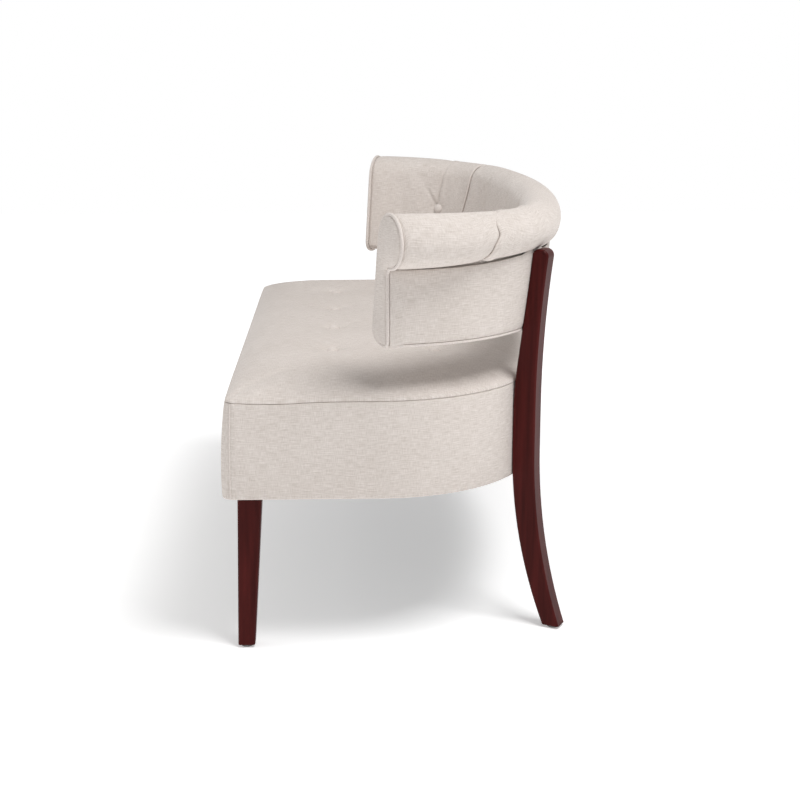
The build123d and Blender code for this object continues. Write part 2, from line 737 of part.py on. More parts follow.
with BuildPart() as stile_blocks:
    skin = Section(1, skin=PANEL_T + FIT)
    block_z = wall_z + RAIL_LOW_H
    with BuildSketch(station(LEG_TURN - STILE_BLOCK_TURN / 2)):
        with BuildLine():
            Polyline(
                (core_out, block_z),
                skin.outside(block_z),
                skin.outside(top_rail_z),
                (core_out, top_rail_z),
                close=True,
            )
        make_face()
    revolve(axis=corner_axis, revolution_arc=STILE_BLOCK_TURN)
    add(back_bolt_holes.part, mode=Mode.SUBTRACT)
    mirror(about=Plane.YZ)
stile_blocks.part.label = "stile_blocks"
export_step(stile_blocks.part, "parts/stile_blocks.step")

# Arm fronts: plywood post, padded facing, and piping that runs round it and ends under the arm
facing_back = facing_plane(FACING_T)

with BuildSketch() as arm_outline:
    add(Section(0, FACING_TURN).outline())
    form = Section(0, FACING_TURN)
    foot = arm_outline.vertices().sort_by_distance((form.outer_x, wall_z))[0]
    nook = arm_outline.vertices().sort_by_distance(form.nook)[0]
    fillet([foot, nook], PIPING_BEND)

with BuildPart() as arm_post_right:
    with BuildSketch(facing_back):
        add(arm_outline.sketch)
        offset(amount=-POST_INSET, mode=Mode.REPLACE)
    extrude(amount=-POST_T)
arm_post_right.part.label = "arm_post_right"
export_step(arm_post_right.part, "parts/arm_post_right.step")

with BuildPart() as arm_post_left:
    mirror(arm_post_right.part, about=Plane.YZ)
arm_post_left.part.label = "arm_post_left"
export_step(arm_post_left.part, "parts/arm_post_left.step")

with BuildPart() as arm_facing_right:
    with BuildSketch(facing_back):
        add(arm_outline.sketch)
        offset(amount=PIPING_PROUD - PIPING_D - FIT, mode=Mode.REPLACE)
    extrude(amount=FACING_T)
arm_facing_right.part.label = "arm_facing_right"
export_step(arm_facing_right.part, "parts/arm_facing_right.step")

with BuildPart() as arm_facing_left:
    mirror(arm_facing_right.part, about=Plane.YZ)
arm_facing_left.part.label = "arm_facing_left"
export_step(arm_facing_left.part, "parts/arm_facing_left.step")

with BuildPart() as arm_piping_right:
    with BuildSketch(facing_back.offset(PIPING_D / 2), mode=Mode.PRIVATE) as loop:
        add(arm_outline.sketch)
        offset(amount=PIPING_PROUD - PIPING_D / 2, mode=Mode.REPLACE)
    route = Wire(loop.sketch.edges().sort_by(Axis.Z)[1:])
    with BuildSketch(Plane(route @ 0, z_dir=route % 0)):
        RegularPolygon(PIPING_D / 2, CORD_SIDES)
    sweep(path=route)
arm_piping_right.part.label = "arm_piping_right"
export_step(arm_piping_right.part, "parts/arm_piping_right.step")

with BuildPart() as arm_piping_left:
    mirror(arm_piping_right.part, about=Plane.YZ)
arm_piping_left.part.label = "arm_piping_left"
export_step(arm_piping_left.part, "parts/arm_piping_left.step")

# Back upholstery: a pad over each arm, one pad across the rear, panels on the outside
arm_turns = [LEG_TURN * step / ARM_STEPS for step in range(1, ARM_STEPS + 1)] + [SEAM_TURN]
bow_turns = [CORNER_TURN + bow_turn * step / BOW_STEPS for step in range(BOW_STEPS + 1)]
rear_turns = [SEAM_TURN] + bow_turns + [180 - SEAM_TURN]

with BuildPart() as arm_pad_right:
    with BuildSketch(facing_back):
        add(Section(0, FACING_TURN, PANEL_T + FIT).wrap())
    for u in arm_turns:
        with BuildSketch(station(u)):
            add(Section(settle(u), skin=PANEL_T + FIT).wrap())
    loft(ruled=True)
    for piece in (arm_post_right, back_core_right, back_low_rail, back_top_rail):
        add(piece.part, mode=Mode.SUBTRACT)
    for piece in (stile_blocks, back_bolt_holes):
        add(piece.part, mode=Mode.SUBTRACT)
    add(pleat(ARM_BUTTON_TURN), mode=Mode.SUBTRACT)
    arm_tuft = inside_plane(ARM_BUTTON_TURN, BACK_BUTTON_Z)
    add(tuft(arm_tuft, BACK_TUFT_DEPTH, BACK_TUFT_REACH), mode=Mode.SUBTRACT)
arm_pad_right.part.label = "arm_pad_right"
export_step(arm_pad_right.part, "parts/arm_pad_right.step")

with BuildPart() as arm_pad_left:
    mirror(arm_pad_right.part, about=Plane.YZ)
arm_pad_left.part.label = "arm_pad_left"
export_step(arm_pad_left.part, "parts/arm_pad_left.step")

with BuildPart() as back_pad:
    for u in rear_turns:
        with BuildSketch(station(u)):
            add(Section(1, skin=PANEL_T + FIT).wrap())
    loft(ruled=True)
    for piece in (back_core_left, back_core_center, back_core_right, back_low_rail, back_top_rail):
        add(piece.part, mode=Mode.SUBTRACT)
    for piece in (stile_blocks, back_bolt_holes):
        add(piece.part, mode=Mode.SUBTRACT)
    for u in back_button_turns:
        add(tuft(inside_plane(u, BACK_BUTTON_Z), BACK_TUFT_DEPTH, BACK_TUFT_REACH), mode=Mode.SUBTRACT)
back_pad.part.label = "back_pad"
export_step(back_pad.part, "parts/back_pad.step")

with BuildPart() as back_buttons:
    for u in [ARM_BUTTON_TURN, 180 - ARM_BUTTON_TURN] + back_button_turns:
        add(button(inside_plane(u, BACK_BUTTON_Z), BACK_TUFT_DEPTH))
back_buttons.part.label = "back_buttons"
export_step(back_buttons.part, "parts/back_buttons.step")

with BuildPart() as outside_panel_right:
    with BuildSketch(facing_back):
        add(Section(0, FACING_TURN).panel())
    for u in arm_turns:
        with BuildSketch(station(u)):
            add(Section(settle(u)).panel())
    loft(ruled=True)
    add(back_bolt_holes.part, mode=Mode.SUBTRACT)
outside_panel_right.part.label = "outside_panel_right"
export_step(outside_panel_right.part, "parts/outside_panel_right.step")

with BuildPart() as outside_panel_left:
    mirror(outside_panel_right.part, about=Plane.YZ)
outside_panel_left.part.label = "outside_panel_left"
export_step(outside_panel_left.part, "parts/outside_panel_left.step")

with BuildPart() as outside_panel_center:
    with BuildSketch(station(SEAM_TURN)):
        add(Section(1).panel())
    revolve(axis=corner_axis, revolution_arc=CORNER_TURN - SEAM_TURN)
    mirror(about=Plane.YZ)
    with BuildSketch(station(CORNER_TURN)):
        add(Section(1).panel())
    revolve(axis=bow_axis, revolution_arc=bow_turn)
outside_panel_center.part.label = "outside_panel_center"
export_step(outside_panel_center.part, "parts/outside_panel_center.step")

# Welt under the bottom edge of the back
welt_x = BACK_OUT - WELT_D / 2 - BACK_LEAN * WELT_D
facing_slope = tan(radians(FACING_TURN))
welt_y = facing_back.origin.Y + (welt_x + WELT_D) * facing_slope - corner_y
welt_start = degrees(asin(welt_y / (CORNER_R + welt_x)))

with BuildPart() as back_welt:
    with BuildLine(Plane.XY.offset(BACK_BOTTOM + WELT_D / 2)) as hem:
        CenterArc((corner_x, corner_y), CORNER_R + welt_x, welt_start, CORNER_TURN - welt_start)
        CenterArc((0, bow_y), bow_r + welt_x, CORNER_TURN, bow_turn)
        CenterArc((-corner_x, corner_y), CORNER_R + welt_x, 180 - CORNER_TURN, CORNER_TURN - welt_start)
    with BuildSketch(Plane(hem.line @ 0, z_dir=hem.line % 0)):
        RegularPolygon(WELT_D / 2, CORD_SIDES)
    sweep()
back_welt.part.label = "back_welt"
export_step(back_welt.part, "parts/back_welt.step")
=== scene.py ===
import bmesh
import bpy
import math
import numpy as np
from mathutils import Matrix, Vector, geometry


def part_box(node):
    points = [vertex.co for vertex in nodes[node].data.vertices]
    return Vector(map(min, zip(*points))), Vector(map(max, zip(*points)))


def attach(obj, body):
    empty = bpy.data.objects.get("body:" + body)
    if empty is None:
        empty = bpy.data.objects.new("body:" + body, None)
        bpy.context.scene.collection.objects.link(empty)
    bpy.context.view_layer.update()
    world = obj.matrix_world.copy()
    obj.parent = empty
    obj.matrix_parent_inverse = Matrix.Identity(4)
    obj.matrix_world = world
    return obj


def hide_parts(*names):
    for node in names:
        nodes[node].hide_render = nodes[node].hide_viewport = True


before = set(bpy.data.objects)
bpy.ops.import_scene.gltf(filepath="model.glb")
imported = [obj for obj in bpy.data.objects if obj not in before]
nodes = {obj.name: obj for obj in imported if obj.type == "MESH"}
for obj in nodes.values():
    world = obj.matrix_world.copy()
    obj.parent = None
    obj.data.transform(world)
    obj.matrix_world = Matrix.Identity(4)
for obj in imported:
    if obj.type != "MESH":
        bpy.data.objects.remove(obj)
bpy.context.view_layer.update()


# Legs: square tapered front legs and sabre-shaped rear stiles of solid hardwood, stained dark red-brown
# and lacquered to a satin. The front pair screw in on hanger bolts, the rear pair are bolted to the frame.
LEG_DARK = (0.034, 0.0034, 0.0032, 1)
LEG_WARM = (0.072, 0.0085, 0.0078, 1)


def set_inputs(node, values):
    """Sets a node's inputs by name."""
    for name, value in values.items():
        node.inputs[name].default_value = value


def new_material(name, looks):
    """A fresh material: itself, its node tree, its shader and the piece's own coordinates."""
    material = bpy.data.materials.new(name)
    material.use_nodes = True
    tree = material.node_tree
    shader = tree.nodes["Principled BSDF"]
    set_inputs(shader, looks)
    place = tree.nodes.new("ShaderNodeTexCoord")
    return material, tree, shader, place.outputs["Object"]


def noise(tree, place, stretch, detail):
    """Noise over the given coordinates, stretched by three scales per metre."""
    spread = tree.nodes.new("ShaderNodeMapping")
    set_inputs(spread, {"Scale": stretch})
    tree.links.new(place, spread.inputs["Vector"])
    grain = tree.nodes.new("ShaderNodeTexNoise")
    set_inputs(grain, {"Scale": 1.0, "Detail": detail})
    tree.links.new(spread.outputs["Vector"], grain.inputs["Vector"])
    return grain.outputs["Fac"]


def tint(tree, shader, value, low, high, dark, light):
    """Base colour from dark to light as the value goes from low to high."""
    blend = tree.nodes.new("ShaderNodeValToRGB")
    for stop, position, colour in zip(blend.color_ramp.elements, (low, high), (dark, light)):
        stop.position = position
        stop.color = colour
    tree.links.new(value, blend.inputs["Fac"])
    tree.links.new(blend.outputs["Color"], shader.inputs["Base Color"])


def bump(tree, shader, height, depth, strength=1.0):
    """Relief of the given depth in metres from a height of 0 to 1."""
    relief = tree.nodes.new("ShaderNodeBump")
    set_inputs(relief, {"Strength": strength, "Distance": depth})
    tree.links.new(height, relief.inputs["Height"])
    tree.links.new(relief.outputs["Normal"], shader.inputs["Normal"])


def paint(material, *names):
    """Gives CAD nodes a finish."""
    for name in names:
        slots = nodes[name].data.materials
        slots.clear()
        slots.append(material)


lacquer, tree, shader, place = new_material("leg_lacquer", {
    "Roughness": 0.40, "Specular IOR Level": 0.12, "Specular Tint": (1.0, 0.62, 0.58, 1),
    "Coat Weight": 0.03, "Coat Roughness": 0.25})
figure = noise(tree, place, (95, 95, 5), 6)
pores = noise(tree, place, (900, 900, 22), 2)
tint(tree, shader, figure, 0.30, 0.72, LEG_DARK, LEG_WARM)
bump(tree, shader, pores, 0.00012)
paint(lacquer, "front_leg_left", "front_leg_right", "rear_leg_left", "rear_leg_right")


# Glides, inserts and bolts: nylon glides pressed under the feet, zinc-plated insert nuts in the legs, and
# zinc-plated bolts through the rails and the back's blocks.
def speckled(name, looks, stretch, detail, low, high, dark, light, depth, strength=1.0):
    """A material that takes its colour and its relief from one noise."""
    material, tree, shader, place = new_material(name, looks)
    grain = noise(tree, place, stretch, detail)
    tint(tree, shader, grain, low, high, dark, light)
    bump(tree, shader, grain, depth, strength)
    return material


nylon = speckled("glide_nylon", {"Roughness": 0.5}, (700, 700, 700), 4, 0.3, 0.8,
                 (0.16, 0.155, 0.15, 1), (0.26, 0.255, 0.25, 1), depth=0.0001)
paint(nylon, "leg_glides")
zinc = speckled("zinc_plate", {"Roughness": 0.34, "Metallic": 1.0}, (350, 350, 350), 5, 0.3, 0.7,
                (0.48, 0.49, 0.51, 1), (0.68, 0.68, 0.67, 1), depth=0.00008)
paint(zinc, "leg_inserts", "front_hanger_bolts", "seat_leg_bolts", "back_leg_bolts")


# Seat frame: planed beech rails, braces and corner blocks, glued and screwed together and left without
# a finish, as the cover hides them.
beech, tree, shader, place = new_material("beech", {"Roughness": 0.6})
figure = noise(tree, place, (14, 60, 60), 5)
flecks = noise(tree, place, (160, 900, 900), 2)
tint(tree, shader, figure, 0.3, 0.7, (0.42, 0.27, 0.155, 1), (0.58, 0.40, 0.25, 1))
bump(tree, shader, flecks, 0.0002)
paint(beech, "seat_front_rail", "seat_end_rails", "seat_corner_rail_left", "seat_corner_rail_right",
      "seat_rear_rail", "seat_brace_left", "seat_brace_right", "seat_corner_blocks")


# Webbing and deck felt: woven elastic straps tacked to the rails both ways, and a needled grey felt over
# them that carries the foam.
strap = speckled("webbing_strap", {"Roughness": 0.85}, (900, 900, 900), 2, 0.35, 0.65,
                 (0.10, 0.085, 0.065, 1), (0.22, 0.19, 0.15, 1), depth=0.0003)
paint(strap, "seat_webbing_long", "seat_webbing_cross")
felt = speckled("deck_felt", {"Roughness": 0.95}, (420, 420, 420), 6, 0.3, 0.7,
                (0.16, 0.16, 0.16, 1), (0.33, 0.32, 0.31, 1), depth=0.0006)
paint(felt, "seat_deck_felt")


# Seat border: the linen boxing round the D-shaped seat, in one strip for the front and one round the ends
# and rear, sewn together at the front corners, pulled over the rails and turned under the bottom edge.
border_low, border_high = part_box("seat_border")
FRONT_LEAN = 0.008
END_STRAIGHT = 0.258
CORNER_R = 0.275
CORNER_TURN = math.radians(79)
FRONT_CORNER_R = 0.016
FRONT_CORNER_STEPS = 12
BORDER_PITCH = 0.010
SIDE_STEPS = 22
HEM_ROUND = 0.006
HEM_DROP = 0.0035
TURN_UNDER = 0.0140
LIP_ROUND = 0.0020
BORDER_T = 0.0078
BORDER_SWELL = 0.0030
BORDER_WAVE = 0.0007
SEAM_DIP = 0.0038
SEAM_DIP_AT = 0.075
SEAM_DIP_REACH = 0.065
CORNER_SEAM_TURN = math.radians(-25)
CORNER_SEAM_W = 0.0016
CORNER_SEAM_DEPTH = 0.0018
LEG_TURN = math.radians(60.75)
LEG_PRESS_R = 0.028
SHOWN_ROWS = range(2, 32)
CORD_ROWS = slice(4, 30)
CORD_OUT = 0.0006
half = border_high.x
front_y = border_low.y + FRONT_LEAN
hem_z = border_low.z - HEM_DROP
seam_z = border_high.z
corner_x = half - CORNER_R
corner_y = front_y + END_STRAIGHT
bow_r = (corner_x + CORNER_R * math.cos(CORNER_TURN)) / math.cos(CORNER_TURN)
bow_y = corner_y + (CORNER_R - bow_r) * math.sin(CORNER_TURN)


def arc_run(centre, radius, start, turn, count):
    """Points and outward normals on an arc, its last point left out."""
    turns = start + turn * np.arange(count) / count
    outward = np.stack([np.cos(turns), np.sin(turns)], axis=1)
    return np.asarray(centre) + radius * outward, outward


def line_run(begin, end, outward, count):
    """Points and outward normals on a straight, its last point left out."""
    share = (np.arange(count) / count)[:, None]
    points = np.asarray(begin) * (1 - share) + np.asarray(end) * share
    return points, np.tile(np.asarray(outward, float), (count, 1))


def joined(runs):
    """Points and normals of several runs in one."""
    return [np.concatenate(parts) for parts in zip(*runs)]


def seat_outline(inset, pitch):
    """The seat's plan, moved in by inset, from the right front corner round the rear and back."""
    x = half - inset
    y = front_y + inset
    f = FRONT_CORNER_R
    bow_turn = math.pi - 2 * CORNER_TURN
    lengths = (END_STRAIGHT, CORNER_R * CORNER_TURN, bow_r * bow_turn, 2 * half)
    sides, turns, bow, front = [max(3, round(length / pitch)) for length in lengths]
    return joined([
        line_run((x, y + f), (x, corner_y), (1, 0), sides),
        arc_run((corner_x, corner_y), CORNER_R - inset, 0, CORNER_TURN, turns),
        arc_run((0, bow_y), bow_r - inset, CORNER_TURN, bow_turn, bow),
        arc_run((-corner_x, corner_y), CORNER_R - inset, math.pi - CORNER_TURN, CORNER_TURN, turns),
        line_run((-x, corner_y), (-x, y + f), (-1, 0), sides),
        arc_run((f - x, y + f), f, math.pi, math.pi / 2, FRONT_CORNER_STEPS),
        line_run((f - x, y), (x - f, y), (0, -1), front),
        arc_run((x - f, y + f), f, -math.pi / 2, math.pi / 2, FRONT_CORNER_STEPS),
    ])


def smooth(value):
    """Eases a share of 0 to 1 at both ends."""
    share = np.clip(value, 0, 1)
    return share * share * (3 - 2 * share)


def dent(distance, width):
    """1 on a line, falling to 0 away from it."""
    return np.exp(-(distance / width) ** 2)


def seam_dip(points, outward):
    """How far the top seam hangs lower along the front part of each end."""
    away = points[:, 1] - (front_y + SEAM_DIP_AT)
    return SEAM_DIP * dent(away, SEAM_DIP_REACH) * np.abs(outward[:, 0])


def running(points, loop=False):
    """Length along a line of points from its start; a loop gets its full length at the end."""
    ends = np.concatenate([points, points[:1]]) if loop else points
    return np.concatenate([[0], np.cumsum(np.linalg.norm(np.diff(ends, axis=0), axis=1))])


def add_object(name, data):
    """A new object at the origin of the scene."""
    thing = bpy.data.objects.new(name, data)
    bpy.context.scene.collection.objects.link(thing)
    return thing


def close_form(form, mesh):
    """Turns a form's faces outwards and makes it a mesh's shape."""
    bmesh.ops.recalc_face_normals(form, faces=form.faces)
    form.to_mesh(mesh)
    form.free()


def make_piece(name, points, faces, weave, material):
    """A mesh with smooth faces turned outwards; weave gives each corner's place on the cloth."""
    mesh = bpy.data.meshes.new(name)
    mesh.from_pydata([tuple(p) for p in points], [], faces)
    layer = mesh.uv_layers.new(name="weave")
    layer.data.foreach_set("uv", np.asarray(weave, dtype=np.float32).ravel())
    mesh.materials.append(material)
    mesh.polygons.foreach_set("use_smooth", [True] * len(mesh.polygons))
    form = bmesh.new()
    form.from_mesh(mesh)
    close_form(form, mesh)
    return add_object(name, mesh)


def woven_grid(name, grid, run, material, loop=False):
    """A skin over grid[column][row]: rows run round the section, columns along the piece."""
    columns, rows = grid.shape[:2]
    steps = np.linalg.norm(np.roll(grid, -1, axis=1) - grid, axis=2)
    rise = np.concatenate([np.zeros((columns, 1)), np.cumsum(steps, axis=1)], axis=1)
    faces = []
    weave = []
    for c in range(columns if loop else columns - 1):
        d = (c + 1) % columns
        for r in range(rows):
            s = (r + 1) % rows
            faces.append((c * rows + r, d * rows + r, d * rows + s, c * rows + s))
            weave += [(run[c], rise[c, r]), (run[c + 1], rise[d, r]),
                      (run[c + 1], rise[d, r + 1]), (run[c], rise[c, r + 1])]
    return make_piece(name, grid.reshape(-1, 3), faces, weave, material)


def apply_modifiers(piece):
    """Makes a piece a plain mesh in the shape that its modifiers give it."""
    view = bpy.context.evaluated_depsgraph_get()
    view.update()
    old = piece.data
    name = old.name
    piece.data = bpy.data.meshes.new_from_object(piece.evaluated_get(view))
    piece.modifiers.clear()
    bpy.data.meshes.remove(old)
    piece.data.name = name


def refine(piece):
    """Subdivides a piece once, keeps it a plain mesh and closes its open ends."""
    finer = piece.modifiers.new("finer", "SUBSURF")
    finer.levels = finer.render_levels = 1
    finer.boundary_smooth = "PRESERVE_CORNERS"
    apply_modifiers(piece)
    form = bmesh.new()
    form.from_mesh(piece.data)
    cloth_place = form.loops.layers.uv.verify()
    open_edges = [edge for edge in form.edges if edge.is_boundary]
    if open_edges:
        ends = bmesh.ops.holes_fill(form, edges=open_edges)["faces"]
        for edge in open_edges:
            edge.smooth = False
        for end in ends:
            for corner in end.loops:
                corner[cloth_place].uv = (corner.vert.co.x + corner.vert.co.y, corner.vert.co.z)
    close_form(form, piece.data)


def combine(tree, kind, first, second):
    """Two values joined by a maths operation; the second may be a plain number."""
    sum_node = tree.nodes.new("ShaderNodeMath")
    sum_node.operation = kind
    tree.links.new(first, sum_node.inputs[0])
    if isinstance(second, (int, float)):
        sum_node.inputs[1].default_value = second
    else:
        tree.links.new(second, sum_node.inputs[1])
    return sum_node.outputs[0]


def blend(tree, first, first_share, second, second_share):
    """Two values added up in the given shares."""
    return combine(tree, "ADD", combine(tree, "MULTIPLY", first, first_share),
                   combine(tree, "MULTIPLY", second, second_share))


def on_cloth(tree):
    """The cloth's own coordinates in metres."""
    cloth = tree.nodes.new("ShaderNodeUVMap")
    cloth.uv_map = "weave"
    return cloth.outputs["UV"]


linen, tree, shader, place = new_material("cover_linen", {
    "Roughness": 0.92, "Sheen Weight": 0.12, "Sheen Roughness": 0.5, "Specular IOR Level": 0.2})
cloth = on_cloth(tree)
across = noise(tree, cloth, (55, 900, 1), 2)
along = noise(tree, cloth, (900, 90, 1), 2)
threads = noise(tree, cloth, (1500, 1500, 1), 1)
slubs = blend(tree, across, 0.6, along, 0.4)
patches = noise(tree, place, (9, 9, 9), 2)
body = blend(tree, slubs, 0.9, patches, 0.1)
tint(tree, shader, body, 0.38, 0.62, (0.570, 0.508, 0.462, 1), (0.750, 0.692, 0.652, 1))
bump(tree, shader, combine(tree, "ADD", slubs, combine(tree, "MULTIPLY", threads, 0.6)), 0.0006, 0.7)

outline, outward = seat_outline(0, BORDER_PITCH)
run = running(outline, loop=True)
mirrored = np.column_stack([np.abs(outline[:, 0]), outline[:, 1]])
front_corner = (half - FRONT_CORNER_R, front_y + FRONT_CORNER_R)
at_corner = np.linalg.norm(mirrored - front_corner, axis=1) < FRONT_CORNER_R * 1.05
seam_turn = np.arctan2(outward[:, 1], outward[:, 0] * np.sign(outline[:, 0])) - CORNER_SEAM_TURN
corner_seam = np.where(at_corner, dent(seam_turn * FRONT_CORNER_R, CORNER_SEAM_W), 0)
rear_leg = (corner_x + CORNER_R * math.cos(LEG_TURN), corner_y + CORNER_R * math.sin(LEG_TURN))
leg_press = dent(np.linalg.norm(mirrored - rear_leg, axis=1), LEG_PRESS_R)
on_front = np.clip(-outward[:, 1], 0, 1)
side_h = seam_z - hem_z
profile = [(-TURN_UNDER, 0.0002), (-0.0100, 0.0000)]
profile += [(HEM_ROUND * (math.sin(a) - 1), HEM_ROUND * (1 - math.cos(a)))
            for a in np.radians([0, 22.5, 45, 67.5])]
profile += [(BORDER_SWELL * math.sin(math.pi * share) ** 0.7,
             HEM_ROUND + (side_h - HEM_ROUND - LIP_ROUND) * share)
            for share in np.arange(SIDE_STEPS + 1) / SIDE_STEPS]
profile += [(LIP_ROUND * (math.cos(a) - 1), side_h + LIP_ROUND * (math.sin(a) - 1))
            for a in np.radians([22.5, 45, 67.5, 90])]
profile += [(-0.0064, side_h - 0.0006), (-BORDER_T, side_h - 0.0040)]
profile += [(-BORDER_T, side_h * share) for share in (0.75, 0.5, 0.25)]
profile += [(-BORDER_T, 0.0030), (-TURN_UNDER, 0.0028)]
grid = np.zeros((len(outline), len(profile), 3))
wave = BORDER_WAVE * (np.sin(run[:-1] * 19) + np.sin(run[:-1] * 31 + 1.3))
for row, (out, rise) in enumerate(profile):
    push = out
    if row in SHOWN_ROWS:
        push = out + wave * math.sin(math.pi * min(1, rise / side_h)) - CORNER_SEAM_DEPTH * corner_seam
    pressed = np.minimum(push, push * (1 - leg_press) - 0.0004 * leg_press)
    push = np.where(leg_press > 0.05, pressed, push)
    grid[:, row, :2] = outline + outward * push[:, None]
    grid[:, row, 1] -= FRONT_LEAN * on_front * max(0, 1 - rise / side_h)
    grid[:, row, 2] = hem_z + rise - seam_dip(outline, outward) * smooth((rise / side_h - 0.5) * 2)
seam_column = int(np.argmax(corner_seam * (outline[:, 0] > 0)))
corner_line = grid[seam_column, CORD_ROWS] + np.array([*outward[seam_column], 0]) * CORD_OUT
border = woven_grid("seat_border_cloth", grid, run, linen, loop=True)
refine(border)
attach(border, "root")
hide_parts("seat_border")


# Seat foam: a slab of cream upholstery foam cut to the D of the seat. It rests on the felt inside the
# rails, held by the cover alone.
foam_low, foam_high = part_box("seat_foam")
FOAM_PLAY = 0.0006
FOAM_ROWS = ((0.060, 0), (0.004, 0), (0.0, 0.004), (0.0, 0.5), (0.0, 0.996), (0.004, 1), (0.060, 1))
cream = speckled("seat_foam_cell", {"Roughness": 0.95}, (800, 800, 800), 3, 0.3, 0.7,
                 (0.60, 0.52, 0.30, 1), (0.74, 0.66, 0.42, 1), depth=0.0008)
plan, plan_out = seat_outline(half - foam_high.x + FOAM_PLAY, 0.020)
foam_h = foam_high.z - foam_low.z
grid = np.stack([np.column_stack([plan - plan_out * inset, np.full(len(plan), foam_low.z + foam_h * share)])
                 for inset, share in FOAM_ROWS], axis=1)
foam = woven_grid("seat_foam_block", grid, running(plan, loop=True), cream, loop=True)
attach(foam, "root")
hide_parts("seat_foam")


# Seat top: the linen panel over a crowned layer of wadding, sewn to the border round its edge and drawn
# down at eight covered buttons in two rows of four; it is let swell between them by a cloth simulation.
SEAT_CROWN = 0.0385
CROWN_RUN = 0.230
FRONT_RUN = 0.090
EDGE_RISE = 0.0030
BUTTON_PITCH = 0.208
ROW_FRONT = 0.176
ROW_GAP = 0.185
TUFT_DEPTH = 0.0125
TUFT_REACH = 0.0170
TUFT_FOLDS = 5
FOLD_SHARE = 0.16
PIN_R = 0.0130
TOP_PITCH = 0.009
TOP_LATTICE = (0.009, 0.0078)
TOP_COLUMNS = range(-66, 67)
TOP_ROWS = range(-36, 36)
TOP_GAP = 0.006
BUTTON_CLEAR = 0.034
BUTTON_RINGS = ((0.004, 8), (0.008, 14), (0.0125, 18), (0.018, 22), (0.024, 24), (0.0305, 26))
TUCKS = ((0.0062, 0.0003), (0.0030, 0.0001), (0.0012, 0.0005), (0.0003, 0.0020))
RING_TURNS = np.radians([3, 7, 12, 18, 24, 30, 36, 42, 48, 54])
SWELL_FRAMES = 20
SWELL_REACH = 0.003
buttons = np.array([(x * BUTTON_PITCH, front_y + ROW_FRONT + row * ROW_GAP)
                    for row in (0, 1) for x in (-1.5, -0.5, 0.5, 1.5)])


def end_inset(x, y):
    """How far points of the plan lie inside the seat's ends and rear."""
    inset = half - np.abs(x)
    behind = y > corner_y
    turning = behind & (np.abs(x) > corner_x)
    from_corner = np.hypot(np.abs(x) - corner_x, y - corner_y)
    inset = np.where(behind, np.minimum(inset, bow_r - np.hypot(x, y - bow_y)), inset)
    return np.where(turning, np.minimum(inset, CORNER_R - from_corner), inset)


def staggered(start, columns, rows, pitch):
    """Points of a staggered lattice."""
    return np.array([(start[0] + (i + 0.5 * (j % 2)) * pitch[0], start[1] + j * pitch[1])
                     for i in columns for j in rows])


def nearest(points, others):
    """Distance from each point to the nearest of the others."""
    return np.hypot(points[:, :1] - others[:, 0], points[:, 1:] - others[:, 1]).min(axis=1)


def fill_rim(rim, inside, tolerance):
    """Fills a closed rim through points inside it: the points, the triangles and the rim's numbers."""
    count = len(rim)
    edges = [(i, (i + 1) % count) for i in range(count)]
    found = geometry.delaunay_2d_cdt([Vector(p) for p in rim] + inside, edges, [], 1, tolerance)
    number = {source: new for new, old in enumerate(found[3]) for source in old}
    return np.array([tuple(p) for p in found[0]]), found[2], [number[i] for i in range(count)]


def ring_faces(count, levels, rim, triangles):
    """Faces over closed rings of points, one after another, and over the filled middle inside them."""
    start = levels * count
    rings = [range(level * count, (level + 1) * count) for level in range(levels)]
    rings.append([start + i for i in rim])
    faces = []
    for low, high in zip(rings, rings[1:]):
        for c in range(count):
            d = (c + 1) % count
            faces.append((low[c], low[d], high[d], high[c]))
    return faces + [tuple(start + i for i in triangle) for triangle in triangles]


def get_points(mesh):
    """A mesh's points as an array."""
    flat = np.zeros(len(mesh.vertices) * 3, dtype=np.float32)
    mesh.vertices.foreach_get("co", flat)
    return flat.reshape(-1, 3).astype(float)


def swell(piece, held, pressure):
    """Lets a cover swell over its filling, held at the given points, and applies the result."""
    start = get_points(piece.data)
    sewn = piece.vertex_groups.new(name="sewn")
    sewn.add([int(i) for i in held], 1.0, "REPLACE")
    sim = piece.modifiers.new("swell", "CLOTH")
    cloth = sim.settings
    cloth.vertex_group_mass = "sewn"
    cloth.use_pressure = True
    cloth.uniform_pressure_force = pressure
    cloth.effector_weights.gravity = 0
    cloth.tension_stiffness = cloth.compression_stiffness = 30
    cloth.shear_stiffness = 15
    cloth.bending_stiffness = 2
    cloth.quality = 5
    sim.collision_settings.use_collision = False
    stage_scene = bpy.context.scene
    for tick in range(1, SWELL_FRAMES + 1):
        stage_scene.frame_set(tick)
    view = bpy.context.evaluated_depsgraph_get()
    moved = get_points(piece.evaluated_get(view).data) - start
    far = np.linalg.norm(moved, axis=1, keepdims=True)
    moved *= np.minimum(1, SWELL_REACH / np.maximum(far, 1e-9))
    piece.modifiers.remove(sim)
    piece.vertex_groups.remove(sewn)
    piece.data.vertices.foreach_set("co", (start + moved).astype(np.float32).ravel())
    piece.data.update()
    stage_scene.frame_set(1)


